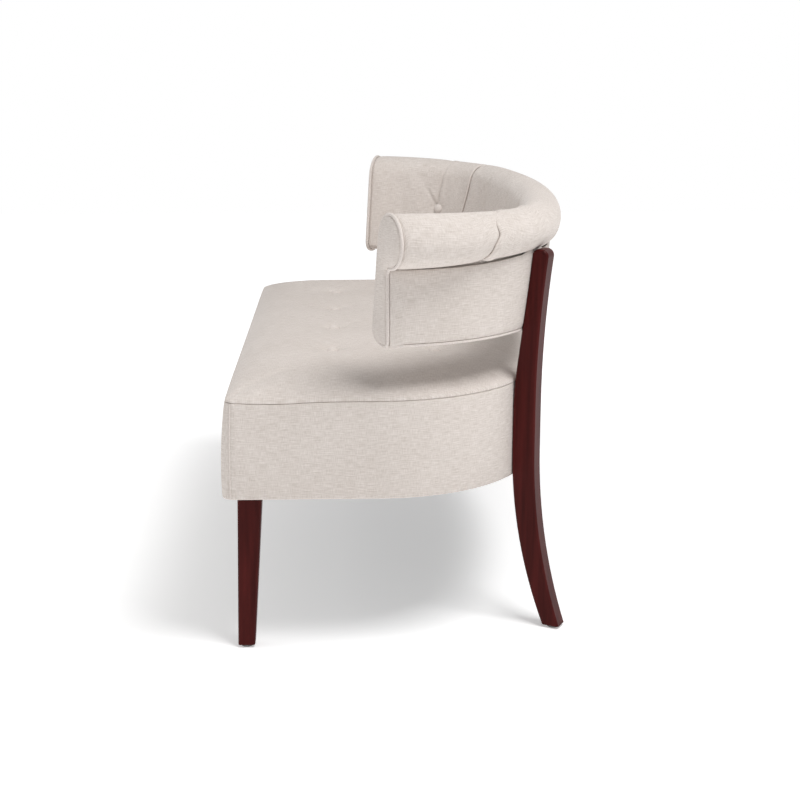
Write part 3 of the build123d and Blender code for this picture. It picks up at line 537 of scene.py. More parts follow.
rings = list(TUCKS) + [(CROWN_RUN * (1 - math.cos(a)), EDGE_RISE) for a in RING_TURNS]
ring_points = []
for inset, rise in rings:
    plan, plan_out = seat_outline(inset, TOP_PITCH)
    drop = seam_dip(plan, plan_out) * (1 - smooth(inset / 0.050))
    ring_points.append(np.column_stack([plan, seam_z + rise - drop]))
plan_count = len(plan)
spots = staggered((0, 0), TOP_COLUMNS, TOP_ROWS, TOP_LATTICE)
inside = np.minimum(end_inset(*spots.T), spots[:, 1] - front_y) > rings[-1][0] + TOP_GAP
lattice = [Vector(p) for p in spots[inside & (nearest(spots, buttons) >= BUTTON_CLEAR)]]
for bx, by in buttons:
    lattice.append(Vector((bx, by)))
    for radius, count in BUTTON_RINGS:
        for spoke in range(count):
            a = 2 * math.pi * (spoke + 0.5 * (count % 4 == 2)) / count
            lattice.append(Vector((bx + radius * math.cos(a), by + radius * math.sin(a))))
middle, triangles, rim = fill_rim(ring_points[-1][:, :2], lattice, 1e-6)
middle = np.column_stack([middle, np.full(len(middle), seam_z + EDGE_RISE)])
points = np.concatenate(ring_points[:-1] + [middle])
faces = ring_faces(plan_count, len(rings) - 1, rim, triangles)
plan_x, plan_y = points[:, 0], points[:, 1]
to_edge = end_inset(plan_x, plan_y)
crown = np.full(len(points), SEAT_CROWN - EDGE_RISE)
for inset, reach in ((to_edge, CROWN_RUN), (plan_y - front_y, FRONT_RUN)):
    crown *= np.sqrt(1 - (1 - np.clip(inset / reach, 0, 1)) ** 2)
tucked = len(TUCKS) * plan_count
points[tucked:, 2] += crown[tucked:]
sewn_points = list(range(tucked))
height = np.zeros(len(points))
for number, (bx, by) in enumerate(buttons):
    away = np.hypot(plan_x - bx, plan_y - by)
    round_turn = np.arctan2(plan_y - by, plan_x - bx)
    folds = 1 + FOLD_SHARE * np.cos(TUFT_FOLDS * round_turn + number * 1.7) * dent(away - 0.022, 0.014)
    height -= TUFT_DEPTH * folds * np.exp(-(away / TUFT_REACH) ** 1.4)
    sewn_points += list(np.flatnonzero(away < PIN_R))
points[:, 2] += height * smooth(to_edge / 0.05)
weave = [(points[i, 1], points[i, 0]) for face in faces for i in face]
seat_top = make_piece("seat_top_cloth", points, faces, weave, linen)
swell(seat_top, sewn_points, 1.2)
refine(seat_top)
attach(seat_top, "root")
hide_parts("seat_top_pad")


# Covered buttons: small domed shells wrapped in the same linen, tied through the filling; one modelled
# button is placed at each point by Geometry Nodes, on the seat and on the back.
BUTTON_SEAT = 0.0046
BUTTON_SIDES = 20
BUTTON_PLEATS = 7
BUTTON_ROWS = ((0.0000, 0.0060), (0.0030, 0.0058), (0.0058, 0.0050), (0.0084, 0.0035), (0.0102, 0.0017),
               (0.0110, 0.0000), (0.0106, -0.0012), (0.0090, -0.0020), (0.0050, -0.0022), (0.0000, -0.0022))
button_form = bmesh.new()
layers = []
for radius, rise in BUTTON_ROWS:
    layer = []
    for a in 2 * math.pi * np.arange(BUTTON_SIDES if radius else 1) / BUTTON_SIDES:
        wide = radius * (1 + 0.025 * math.sin(BUTTON_PLEATS * a) * (rise < 0.003))
        layer.append(button_form.verts.new((wide * math.cos(a), wide * math.sin(a), rise)))
    layers.append(layer)
for upper, lower in zip(layers, layers[1:]):
    for k in range(BUTTON_SIDES):
        m = (k + 1) % BUTTON_SIDES
        if len(upper) == 1:
            button_form.faces.new((upper[0], lower[k], lower[m]))
        elif len(lower) == 1:
            button_form.faces.new((upper[k], lower[0], upper[m]))
        else:
            button_form.faces.new((upper[k], lower[k], lower[m], upper[m]))
for face in button_form.faces:
    face.smooth = True
button_mesh = bpy.data.meshes.new("covered_button")
close_form(button_form, button_mesh)
button_source = add_object("covered_button", button_mesh)
button_linen = speckled("button_linen", {"Roughness": 0.9, "Sheen Weight": 0.12}, (620, 620, 620), 3,
                        0.3, 0.7, (0.600, 0.540, 0.500, 1), (0.740, 0.680, 0.640, 1), depth=0.0005,
                        strength=0.7)

placer = bpy.data.node_groups.new("place_copies", "GeometryNodeTree")
sockets = {}
for name, kind in (("Points", "Geometry"), ("Copy", "Object"), ("Spin", "Float"), ("Finish", "Material")):
    socket = placer.interface.new_socket(name, in_out="INPUT", socket_type="NodeSocket" + kind)
    sockets[name] = socket.identifier
placer.interface.new_socket("Copies", in_out="OUTPUT", socket_type="NodeSocketGeometry")
given, made, source, facing_way, aim, twist, random_turn, about_z, to_turn, stand, real, finish_node = [
    placer.nodes.new(kind) for kind in (
        "NodeGroupInput", "NodeGroupOutput", "GeometryNodeObjectInfo", "GeometryNodeInputNamedAttribute",
        "FunctionNodeAlignRotationToVector", "FunctionNodeRotateRotation", "FunctionNodeRandomValue",
        "ShaderNodeCombineXYZ", "FunctionNodeEulerToRotation", "GeometryNodeInstanceOnPoints",
        "GeometryNodeRealizeInstances", "GeometryNodeSetMaterial")]
facing_way.data_type = "FLOAT_VECTOR"
set_inputs(facing_way, {"Name": "facing"})
aim.axis = "Z"
twist.rotation_space = "LOCAL"
random_turn.data_type = "FLOAT"
set_inputs(random_turn, {"Seed": 7})
float_max = [s for s in random_turn.inputs if s.name == "Max" and s.type == "VALUE"][0]
float_value = [s for s in random_turn.outputs if s.type == "VALUE" and s.enabled][0]
placer.links.new(given.outputs["Spin"], float_max)
placer.links.new(float_value, about_z.inputs["Z"])
for giver, leaving, taker, entering in (
        (given, "Copy", source, "Object"), (facing_way, "Attribute", aim, "Vector"),
        (about_z, "Vector", to_turn, "Euler"), (aim, "Rotation", twist, "Rotation"),
        (to_turn, "Rotation", twist, "Rotate By"), (given, "Points", stand, "Points"),
        (source, "Geometry", stand, "Instance"), (twist, "Rotation", stand, "Rotation"),
        (stand, "Instances", real, "Geometry"), (real, "Geometry", finish_node, "Geometry"),
        (given, "Finish", finish_node, "Material"), (finish_node, "Geometry", made, "Copies")):
    placer.links.new(giver.outputs[leaving], taker.inputs[entering])


def place_copies(name, copy, places, facings, spin, material):
    """One mesh of a copy set at each place with its Z along the facing, by the Geometry Nodes group."""
    mesh = bpy.data.meshes.new(name)
    mesh.from_pydata([tuple(p) for p in places], [], [])
    ways = mesh.attributes.new("facing", "FLOAT_VECTOR", "POINT")
    ways.data.foreach_set("vector", np.asarray(facings, dtype=np.float32).ravel())
    piece = add_object(name, mesh)
    spread = piece.modifiers.new("copies", "NODES")
    spread.node_group = placer
    spread[sockets["Copy"]] = copy
    spread[sockets["Spin"]] = spin
    spread[sockets["Finish"]] = material
    apply_modifiers(piece)
    return piece


seat_heights = []
final_points = get_points(seat_top.data)
for bx, by in buttons:
    close = np.hypot(final_points[:, 0] - bx, final_points[:, 1] - by) + (final_points[:, 2] < seam_z + 0.01)
    seat_heights.append(final_points[np.argmin(close), 2])
places = np.column_stack([buttons, np.array(seat_heights) + BUTTON_SEAT])
seat_buttons = place_copies("seat_button_set", button_source, places, np.tile((0, 0, 1), (len(places), 1)),
                            2 * math.pi, button_linen)
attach(seat_buttons, "root")
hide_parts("seat_buttons")


# Dust cover: black cambric stretched under the seat and fixed to the rails along its edge by a row of
# zinc-plated wire staples.
COVER_RINGS = 14
COVER_REACH = 0.97
COVER_SAG = 0.0016
COVER_RIPPLE = 0.0004
STAPLE_PITCH = 0.045
STAPLE_INSET = 0.006
STAPLE_SPIN = 0.5
STAPLE_W = 0.0010
STAPLE_SIDE = ((-0.0050, -0.0030), (-0.0040, -0.0030), (-0.0040, 0.0), (0.0040, 0.0), (0.0040, -0.0030),
               (0.0050, -0.0030), (0.0050, 0.0010), (-0.0050, 0.0010))
cover_low, cover_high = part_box("dust_cover")
cambric = speckled("dust_cambric", {"Roughness": 0.95}, (1300, 1300, 1300), 2, 0.35, 0.65,
                   (0.010, 0.010, 0.011, 1), (0.035, 0.034, 0.034, 1), depth=0.0004)
cover_inset = half - cover_high.x
cover_plan = seat_outline(cover_inset, 0.014)[0]
shares = np.linspace(0, COVER_REACH, COVER_RINGS)
cover_rows = []
for z, order in ((cover_low.z, shares), (cover_high.z, shares[::-1])):
    for share in order:
        ring = cover_plan * (1 - share) + np.array([0, corner_y * share])
        sag = COVER_SAG * smooth((share - 0.12) / 0.5)
        ripple = COVER_RIPPLE * np.sin(running(ring) * 60) * dent(share - 0.06, 0.08)
        cover_rows.append(np.column_stack([ring, z - sag + ripple]))
cover_run = running(cover_plan, loop=True)
dust = woven_grid("dust_cover_cloth", np.stack(cover_rows, axis=1), cover_run, cambric, loop=True)
form = bmesh.new()
form.from_mesh(dust.data)
inner_rows = (COVER_RINGS - 1, COVER_RINGS)
well = [face for face in form.faces
        if all(corner.index % len(cover_rows) in inner_rows for corner in face.verts)]
bmesh.ops.delete(form, geom=well, context="FACES_ONLY")
bmesh.ops.holes_fill(form, edges=[edge for edge in form.edges if edge.is_boundary])
close_form(form, dust.data)
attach(dust, "root")
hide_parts("dust_cover")
staple_form = bmesh.new()
rims = [[staple_form.verts.new((x, y, z)) for x, z in STAPLE_SIDE] for y in (-STAPLE_W / 2, STAPLE_W / 2)]
for rim in rims:
    staple_form.faces.new(rim)
for k in range(len(STAPLE_SIDE)):
    staple_form.faces.new([rims[0][k - 1], rims[0][k], rims[1][k], rims[1][k - 1]])
staple_mesh = bpy.data.meshes.new("staple")
close_form(staple_form, staple_mesh)
staple_source = add_object("staple", staple_mesh)
staple_plan = seat_outline(cover_inset + STAPLE_INSET, STAPLE_PITCH)[0]
spaced = [staple_plan[0]]
for spot in staple_plan[1:]:
    if min(np.hypot(*(spot - spaced[-1])), np.hypot(*(spot - spaced[0]))) > 0.7 * STAPLE_PITCH:
        spaced.append(spot)
places = np.column_stack([spaced, np.full(len(spaced), cover_low.z + 0.0002)])
staples = place_copies("dust_cover_staples", staple_source, places, np.tile((0, 0, -1), (len(places), 1)),
                       STAPLE_SPIN, zinc)
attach(staples, "root")
bpy.data.objects.remove(staple_source)


# Back frame: cores of bent plywood between planed beech rails, with glue blocks at the rear legs and posts
# at the arm fronts, all glued and screwed and hidden under the cover.
ply = speckled("bent_plywood", {"Roughness": 0.65}, (40, 40, 7), 5, 0.3, 0.7,
               (0.46, 0.32, 0.19, 1), (0.62, 0.46, 0.30, 1), depth=0.0003)
paint(ply, "back_core_left", "back_core_center", "back_core_right")
paint(beech, "back_low_rail", "back_top_rail", "stile_blocks", "arm_post_left", "arm_post_right")


# Arm pads and back pad: wadding and linen wrapped over the frame in three lengths, from the foot of the
# inside up over the rolled top and under it to the outside panel, drawn in at buttons with small pleats.
WALL_Z = 0.538
BACK_OUT = 0.0145
BACK_T = 0.060
BACK_LEAN = 0.125
BACK_ROUND = 0.014
ROLL_Z = 0.7075
ROLL_R_ARM = 0.0455
ROLL_R_BACK = 0.0390
ROLL_OUT_ARM = 0.0255
ROLL_OUT_BACK = 0.0115
PANEL_SKIN = 0.0034
NOOK_SKINS = 3
FOOT_SKIN = 0.0012
SEAM_TURN = math.radians(64)
SEAM_LEAN = math.radians(9.0)
SEAM_SPREAD = 0.30
FACING_Y = 0.2594
FACING_TURN = math.radians(21)
FACING_T = 0.008
ARM_BUTTON_TURN = math.radians(39.5)
BACK_BUTTON_Z = 0.640
BACK_TUFT = 0.0080
BACK_TUFT_REACH = 0.0155
PAD_SLACK = 0.0012
PAD_PRESSURE = 0.8
EDGE_SINK = 0.0026
EDGE_SINK_REACH = 0.0030
PLEAT_BEND = (0, 0, 2.5, 4.0, -3.0, -4.2, -3.0, -4.6, -5.2)
PLEAT_DEPTH = (0, 5.0, 4.4, 2.6, 0.0, 3.4, 7.4, 8.2, 6.6)
PLEAT_ROLL_TURNS = np.radians([-100, -60, -35, -10, 20])
SMALL_PLEAT = (0, 0.6, 0.6, 0.3, 0, 0, 0, 0, 0)
PLEAT_SWAY = 0.36
PLEAT_LAP = 0.0046
CREASE_RISE = 0.052
CREASE_DRIFT = 0.046
CREASE_DEPTH = 0.0042
CREASE_W = 0.0042
CREASE_LIP = 0.0018
FOLD_BEFORE = 0.0100
FOLD_AFTER = 0.0020
FOLD_LIP = 0.34
FOLD_LIP_AT = 0.0075
FOLD_LIP_W = 0.0055
FORE_COLUMNS, AFT_COLUMNS, CORNER_COLUMNS, BOW_COLUMNS = 58, 28, 14, 118
FOOT, HEEL, FACE, ROLL, WALL = 6, 6, 26, 46, 8
FACE_ROW = FOOT + HEEL
ROLL_ROW = FACE_ROW + FACE
NOOK_ROW = ROLL_ROW + ROLL


def drawn(turn):
    """How far the section has changed from the arm front's, 0, to the back's, 1, at a plan turn."""
    return float(smooth(min(turn, math.pi - turn) / LEG_TURN))


def back_section(turn, skin):
    """Section of the back at a plan turn: a closed row of offset and height, normals and the roll's turns."""
    d = drawn(turn)
    roll_x = ROLL_OUT_ARM + (ROLL_OUT_BACK - ROLL_OUT_ARM) * d
    roll_r = ROLL_R_ARM + (ROLL_R_BACK - ROLL_R_ARM) * d
    lean = BACK_LEAN * d
    inner = BACK_OUT - BACK_T
    foot = (BACK_OUT - skin, WALL_Z - FOOT_SKIN)
    turn_in = (inner + BACK_ROUND, WALL_Z + BACK_ROUND)
    dx, dy = roll_x - inner, ROLL_Z - WALL_Z - BACK_ROUND
    tilt = math.atan2(dx, dy) - math.asin(roll_r / math.hypot(dx, dy))
    length = math.sqrt(dx * dx + dy * dy - roll_r * roll_r)
    heel = (inner + BACK_ROUND * (1 - math.cos(tilt)), WALL_Z + BACK_ROUND * (1 + math.sin(tilt)))
    cheek = (inner + length * math.sin(tilt), WALL_Z + BACK_ROUND + length * math.cos(tilt))
    k = BACK_OUT - NOOK_SKINS * skin + lean * (ROLL_Z - WALL_Z) - roll_x
    drop = (lean * k + math.sqrt((lean * k) ** 2 - (1 + lean ** 2) * (k * k - roll_r ** 2))) / (1 + lean ** 2)
    sweep = math.atan2(-drop, k - lean * drop) - math.pi + tilt
    roll = arc_run((roll_x, ROLL_Z), roll_r, math.pi - tilt, sweep * (ROLL + 1) / ROLL, ROLL + 1)
    wall = line_run(roll[0][-1], foot, (1, 0), WALL)
    rows, ways = joined([
        line_run(foot, (turn_in[0], foot[1]), (0, -1), FOOT),
        arc_run(turn_in, BACK_ROUND, -math.pi / 2, -math.pi / 2 - tilt, HEEL),
        line_run(heel, cheek, (-math.cos(tilt), math.sin(tilt)), FACE),
        roll,
        (wall[0][1:], wall[1][1:]),
    ])
    return rows, ways, math.pi - tilt + sweep * np.arange(ROLL + 1) / ROLL


def plan_spot(turn, offset):
    """Place in the plan at a turn round the back and an offset out from the seat's outline."""
    x, y, radius = 0, bow_y, bow_r
    if not CORNER_TURN < turn <= math.pi - CORNER_TURN:
        x, y, radius = math.copysign(corner_x, math.cos(turn)), corner_y, CORNER_R
    return x + (radius + offset) * math.cos(turn), y + (radius + offset) * math.sin(turn)


def plan_run(turn):
    """Length along the seat's outline from the arm's start to a turn."""
    first = CORNER_R * min(turn, CORNER_TURN)
    bow = bow_r * min(max(turn - CORNER_TURN, 0), math.pi - 2 * CORNER_TURN)
    return first + bow + CORNER_R * max(turn - math.pi + CORNER_TURN, 0)


def facing_cut(offset, behind):
    """Plan turn at which the slanted plane of the arm front cuts the line at an offset."""
    y = front_y + FACING_Y + behind / math.cos(FACING_TURN) + offset * math.tan(FACING_TURN)
    return math.asin((y - corner_y) / (CORNER_R + offset))


def slanted(turn, turns, offset, behind, power):
    """A column's turn, slanted to the plane of the arm front at the first one and less towards the last."""
    if behind is None:
        return turn
    share = 1 - (turn - turns[0]) / (turns[-1] - turns[0])
    return turn + (facing_cut(offset, behind) - turns[0]) * share ** power


def fold(across, depth):
    """A pleat: the cloth slopes down to a line and turns up steeply behind it into a low lip."""
    before = np.exp(np.minimum(across, 0) / FOLD_BEFORE)
    after = np.exp(-np.maximum(across, 0) / FOLD_AFTER)
    lip = FOLD_LIP * dent(across - FOLD_LIP_AT, FOLD_LIP_W)
    return depth * (lip - np.where(across < 0, before, after))


def seam_lean(turn, t):
    """Turn by which a point near a seam of the inside is drawn to the arm, t along its section."""
    away = min(abs(turn - SEAM_TURN), abs(math.pi - SEAM_TURN - turn))
    side = -1 if turn < math.pi / 2 else 1
    foot_t = t[FACE_ROW]
    above = smooth(1 - (t - foot_t) / (t[ROLL_ROW] + 0.030 - foot_t))
    drawn_in = np.where(t < foot_t, smooth(t / foot_t), above)
    return side * SEAM_LEAN * float(smooth(1 - away / SEAM_SPREAD)) * drawn_in


def pad_grid(turns, first_behind, tufts, pleats):
    """Points of a pad over the given plan turns; the first column follows the arm front's slant."""
    grid = []
    length = plan_run(turns[-1]) - plan_run(turns[0])
    for turn in turns:
        rows, ways, roll_turns = back_section(turn, PANEL_SKIN)
        t = running(rows)
        button_t = np.interp(BACK_BUTTON_Z, rows[FACE_ROW:ROLL_ROW, 1], t[FACE_ROW:ROLL_ROW])
        cover = np.full(len(rows), -PAD_SLACK)
        sway = seam_lean(turn, t)
        for tuft_turn in tufts:
            aside = (plan_run(turn) - plan_run(tuft_turn)) * 0.9
            cover -= BACK_TUFT * np.exp(-(np.hypot(aside, t - button_t) / BACK_TUFT_REACH) ** 1.4)
        for pleat_turn, over in pleats:
            roll_marks = np.interp(PLEAT_ROLL_TURNS, -roll_turns, t[ROLL_ROW:NOOK_ROW + 1])
            marks_t = [button_t - 0.006, button_t + 0.004, t[ROLL_ROW], *roll_marks, t[NOOK_ROW]]
            depth = np.array(PLEAT_DEPTH) / 1000 * (1 if over else np.array(SMALL_PLEAT))
            deep = np.interp(t, marks_t, depth, left=0)
            across = plan_run(turn) - plan_run(pleat_turn)
            cover += fold(across, deep)
            if over:
                near = float(smooth(1 - abs(turn - pleat_turn) / PLEAT_SWAY))
                sway = sway + np.interp(t, marks_t, np.radians(PLEAT_BEND)) * near
                lap = PLEAT_LAP * float(dent(across - 0.0018, 0.0016)) / CORNER_R
                sway = sway - lap * np.clip((deep - 0.002) / 0.004, 0, 1)
                slope = np.clip((t - button_t) / CREASE_RISE, 0, 1)
                aside = (turn - pleat_turn) * CORNER_R + CREASE_DRIFT * slope
                crease = CREASE_LIP * dent(aside - 0.009, 0.005) - CREASE_DEPTH * dent(aside, CREASE_W)
                cover += crease * smooth((1 - slope) * 2.2) * smooth(slope * 6)
        along = plan_run(turn) - plan_run(turns[0])
        edge = min(along, length - along)
        inner_side = np.interp(np.arange(len(rows)), ROLL_ROW + ROLL * np.array([0, 0.34, 0.46]), [1, 1, 0])
        sunk = 1 if edge == along and first_behind else inner_side
        cover -= EDGE_SINK * math.exp(-edge / EDGE_SINK_REACH) * sunk
        cover[:FOOT] = 0
        cover[NOOK_ROW + 1:] = 0
        spots = [plan_spot(slanted(turn, turns, n, first_behind, 1.5) + s, n)
                 for n, s in zip(rows[:, 0] + ways[:, 0] * cover, sway)]
        grid.append(np.column_stack([spots, rows[:, 1] + ways[:, 1] * cover]))
    return np.array(grid)


def button_row(section):
    """The row of a section that is nearest to the height of the buttons."""
    return FACE_ROW + int(np.argmin(np.abs(section[FACE_ROW:ROLL_ROW, 1] - BACK_BUTTON_Z)))


def held_points(grid, tufts, turns):
    """Points of a pad that its tacks, seams and buttons hold."""
    columns, rows = grid.shape[:2]
    kept = []
    for c in range(columns):
        at_seam = c < 2 or c > columns - 3
        kept += [c * rows + r for r in range(rows) if at_seam or r <= FOOT or r >= NOOK_ROW - 1]
    for tuft_turn in tufts:
        row = button_row(back_section(tuft_turn, PANEL_SKIN)[0])
        c = int(np.argmin(np.abs(np.asarray(turns) - tuft_turn)))
        kept += [i * rows + r for i in (c - 1, c, c + 1) for r in (row - 1, row, row + 1)]
    return sorted(set(kept))


def pad(name, grid, turns, tufts):
    """A pad's cover: its grid made a mesh, swelled and refined."""
    piece = woven_grid(name, grid, [plan_run(u) for u in turns], linen)
    swell(piece, held_points(grid, tufts, turns), PAD_PRESSURE)
    refine(piece)
    return piece


pleat_steps = np.array([-17, -13, -10, -7.5, -5.5, -4, -2.8, -1.8, -0.9, 0, 0.6, 1.3, 2.2, 3.4, 5, 7, 9.5,
                        12.5, 16])
pleat_part = ARM_BUTTON_TURN + pleat_steps / 1000 / CORNER_R
fore_part = np.linspace(facing_cut(0, FACING_T), pleat_part[0], FORE_COLUMNS)[:-1]
aft_part = np.linspace(pleat_part[-1], SEAM_TURN, AFT_COLUMNS)[1:]
arm_turns = np.concatenate([fore_part, pleat_part, aft_part])
arm_tufts = [ARM_BUTTON_TURN]
arm_grid = pad_grid(arm_turns, FACING_T, arm_tufts, [(ARM_BUTTON_TURN, True)])
for name, node, sign in (("arm_pad_right_cover", "arm_pad_right", 1),
                         ("arm_pad_left_cover", "arm_pad_left", -1)):
    arm_pad = pad(name, arm_grid * (sign, 1, 1), arm_turns, arm_tufts)
    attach(arm_pad, "root")
    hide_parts(node)

back_tufts = [math.acos(x * BUTTON_PITCH / bow_r) for x in (1.5, 0.5, -0.5, -1.5)]
corner_part = np.linspace(SEAM_TURN, CORNER_TURN, CORNER_COLUMNS)
bow_part = np.linspace(CORNER_TURN, math.pi - CORNER_TURN, BOW_COLUMNS)
rear_turns = np.concatenate([corner_part, bow_part[1:], (math.pi - corner_part[::-1])[1:]])
rear_grid = pad_grid(rear_turns, None, back_tufts, [(u, False) for u in back_tufts])
back_pad = pad("back_pad_cover", rear_grid, rear_turns, back_tufts)
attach(back_pad, "root")
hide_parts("back_pad")


# Back buttons: the same covered buttons, one on each arm and four along the back, on the inside face below
# the roll, each tied through the plywood.
BACK_BUTTON_OUT = 0.0042
places, facings = [], []
for turn in [ARM_BUTTON_TURN] + back_tufts + [math.pi - ARM_BUTTON_TURN]:
    section, ways, _ = back_section(turn, PANEL_SKIN)
    way = ways[button_row(section)]
    face = section[FACE_ROW:ROLL_ROW]
    offset = np.interp(BACK_BUTTON_Z, face[:, 1], face[:, 0])
    sink = BACK_TUFT + PAD_SLACK - BACK_BUTTON_OUT
    places.append((*plan_spot(turn, offset - way[0] * sink), BACK_BUTTON_Z - way[1] * sink))
    facings.append((way[0] * math.cos(turn), way[0] * math.sin(turn), way[1]))
back_buttons = place_copies("back_button_set", button_source, places, facings, 2 * math.pi, button_linen)
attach(back_buttons, "root")
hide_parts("back_buttons")
bpy.data.objects.remove(button_source)


# Outside panels: linen over thin board, three lengths that close the outside of the back below the roll;
# their top edge is tucked under the roll and their foot is finished by a welt.
PANEL_T = 0.003
PANEL_RISE = 24
SIDE_COLUMNS = 56
CENTER_COLUMNS = 110
PANEL_SWELL = 0.0012
PANEL_ROUND = 0.0014
FOOT_DIP = 0.0050
DIP_RUN = 0.026
NOOK_GAP = 0.0036
LEG_CLEAR = 0.09
LEG_CLEAR_RUN = 0.06


def foot_dip(along):
    """How far the foot of the back dips at the arm front, a length along from it."""
    return FOOT_DIP * (1 - float(smooth(along / DIP_RUN)))


def panel_grid(turns, first_behind):
    """Points of an outside panel: up its outside, over its tucked top and down its inside."""
    grid = []
    for turn in turns:
        nook = back_section(turn, 0)[0][NOOK_ROW]
        lean = BACK_LEAN * drawn(turn)
        along = plan_run(turn) - plan_run(turns[0])
        edge = min(along, plan_run(turns[-1]) - along)
        foot = WALL_Z - (foot_dip(along) if first_behind else 0)
        from_leg = abs(min(turn, math.pi - turn) - LEG_TURN)
        head = nook[1] - NOOK_GAP * float(smooth((from_leg - LEG_CLEAR) / LEG_CLEAR_RUN))
        line = []
        for step in range(PANEL_RISE + 1):
            share = step / PANEL_RISE
            z = foot + (head - foot) * share
            swelling = PANEL_SWELL * math.sin(math.pi * share) ** 0.6 * float(smooth(edge / 0.02))
            round_in = PANEL_ROUND * (math.exp(-share * 43) + math.exp(-(1 - share) * 60))
            line.append((BACK_OUT + lean * (z - WALL_Z) + swelling - round_in, z))
        top = line[-1]
        line += [(top[0] - 0.0009, top[1] + 0.0007), (top[0] - 0.0016, top[1] + 0.0002)]
        for share in (0.8, 0.5, 0.2, 0.0):
            z = foot + (head - foot) * share
            line.append((BACK_OUT - PANEL_T + lean * (z - WALL_Z), z))
        grid.append([(*plan_spot(slanted(turn, turns, n, first_behind, 3), n), z) for n, z in line])
    return np.array(grid)


side_turns = np.linspace(facing_cut(BACK_OUT, FACING_T), SEAM_TURN, SIDE_COLUMNS)
side_grid = panel_grid(side_turns, FACING_T)
center_turns = np.linspace(SEAM_TURN, math.pi - SEAM_TURN, CENTER_COLUMNS)
for name, node, turns, grid in (
        ("outside_panel_right_cover", "outside_panel_right", side_turns, side_grid),
        ("outside_panel_left_cover", "outside_panel_left", side_turns, side_grid * (-1, 1, 1)),
        ("outside_panel_center_cover", "outside_panel_center", center_turns, panel_grid(center_turns, None))):
    panel = woven_grid(name, grid, [plan_run(u) for u in turns], linen)
    refine(panel)
    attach(panel, "root")
    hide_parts(node)


# Arm facings: shaped boards padded and covered in linen that close the slanted front of each arm, from a
# round head as big as the roll down a narrow stem.
FACING_IN = 0.0034
FACING_CROWN = 0.0030
FACING_EDGE = 0.0014
FACING_PITCH = 0.0030
FACING_LATTICE = (0.0042, 0.0036)
RIM_IN = 0.0035
RIM_CLEAR = 0.0024


def resample(points, pitch):
    """Points at an even pitch along a closed line."""
    length = running(points, loop=True)
    ends = np.concatenate([points, points[:1]])
    marks = np.linspace(0, length[-1], max(8, round(length[-1] / pitch)) + 1)[:-1]
    return np.column_stack([np.interp(marks, length, ends[:, k]) for k in range(points.shape[1])])


def round_off(points, times):
    """Softens the corners of a closed line."""
    for _ in range(times):
        points = 0.25 * np.roll(points, 1, axis=0) + 0.5 * points + 0.25 * np.roll(points, -1, axis=0)
    return points


def move_in(points, distance):
    """A closed line moved to its inner side."""
    along = np.roll(points, -1, axis=0) - np.roll(points, 1, axis=0)
    along /= np.linalg.norm(along, axis=1, keepdims=True)
    side = np.column_stack([-along[:, 1], along[:, 0]])
    area = np.sum(points[:, 0] * np.roll(points[:, 1], -1) - points[:, 1] * np.roll(points[:, 0], -1))
    return points + side * distance * (1 if area > 0 else -1)


def on_front_plane(points, behind):
    """Puts offsets and heights on the slanted plane of the right arm's front, a distance behind it."""
    y = front_y + FACING_Y + behind / math.cos(FACING_TURN) + points[:, 0] * math.tan(FACING_TURN)
    return np.column_stack([half + points[:, 0], y, points[:, 1]])


arm_outline = round_off(resample(back_section(0, 0)[0], 0.0025), 14)
low = smooth(1 - (arm_outline[:, 1] - WALL_Z) / 0.030)
arm_outline[:, 1] -= FOOT_DIP * low * smooth((arm_outline[:, 0] - BACK_OUT + BACK_T) / 0.040)
arm_outline = round_off(arm_outline, 6)
face_line = resample(move_in(arm_outline, FACING_IN), FACING_PITCH)
inner_line = round_off(move_in(face_line, RIM_IN), 2)
span_low = inner_line.min(axis=0)
counts = [int(extent / pitch) + 1 for extent, pitch in zip(np.ptp(inner_line, axis=0), FACING_LATTICE)]
spots = staggered(span_low, range(counts[0]), range(counts[1]), FACING_LATTICE)
line_x, line_z = inner_line.T
next_x, next_z = np.roll(inner_line, -1, axis=0).T
with np.errstate(divide="ignore", invalid="ignore"):
    cut = line_x + (spots[:, 1:] - line_z) * (next_x - line_x) / (next_z - line_z)
crossing = (line_z > spots[:, 1:]) != (next_z > spots[:, 1:])
inside = np.sum(crossing & (spots[:, :1] < cut), axis=1) % 2 == 1
fill_points = [Vector(p) for p in spots[inside & (nearest(spots, inner_line) > RIM_CLEAR)]]
flat, triangles, rim = fill_rim(inner_line, fill_points, 1e-7)
depth_in = nearest(flat, inner_line)
raised = FACING_CROWN * smooth(depth_in / 0.022) + FACING_EDGE * smooth(depth_in / 0.004)
front_way = np.array([math.sin(FACING_TURN), -math.cos(FACING_TURN), 0])
levels = [(face_line, FACING_T - 0.0004), (face_line, 0.0030), (move_in(face_line, 0.0012), 0.0012)]
points = [on_front_plane(line, behind) for line, behind in levels]
points = np.concatenate(points + [on_front_plane(flat, 0.0) + raised[:, None] * front_way])
faces = ring_faces(len(face_line), len(levels), rim, triangles)
weave = [(points[i, 0] + points[i, 1], points[i, 2]) for face in faces for i in face]
for name, node, sign in (("arm_facing_right_cover", "arm_facing_right", 1),
                         ("arm_facing_left_cover", "arm_facing_left", -1)):
    facing = make_piece(name, points * (sign, 1, 1), faces, weave, linen)
    refine(facing)
    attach(facing, "root")
    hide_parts(node)


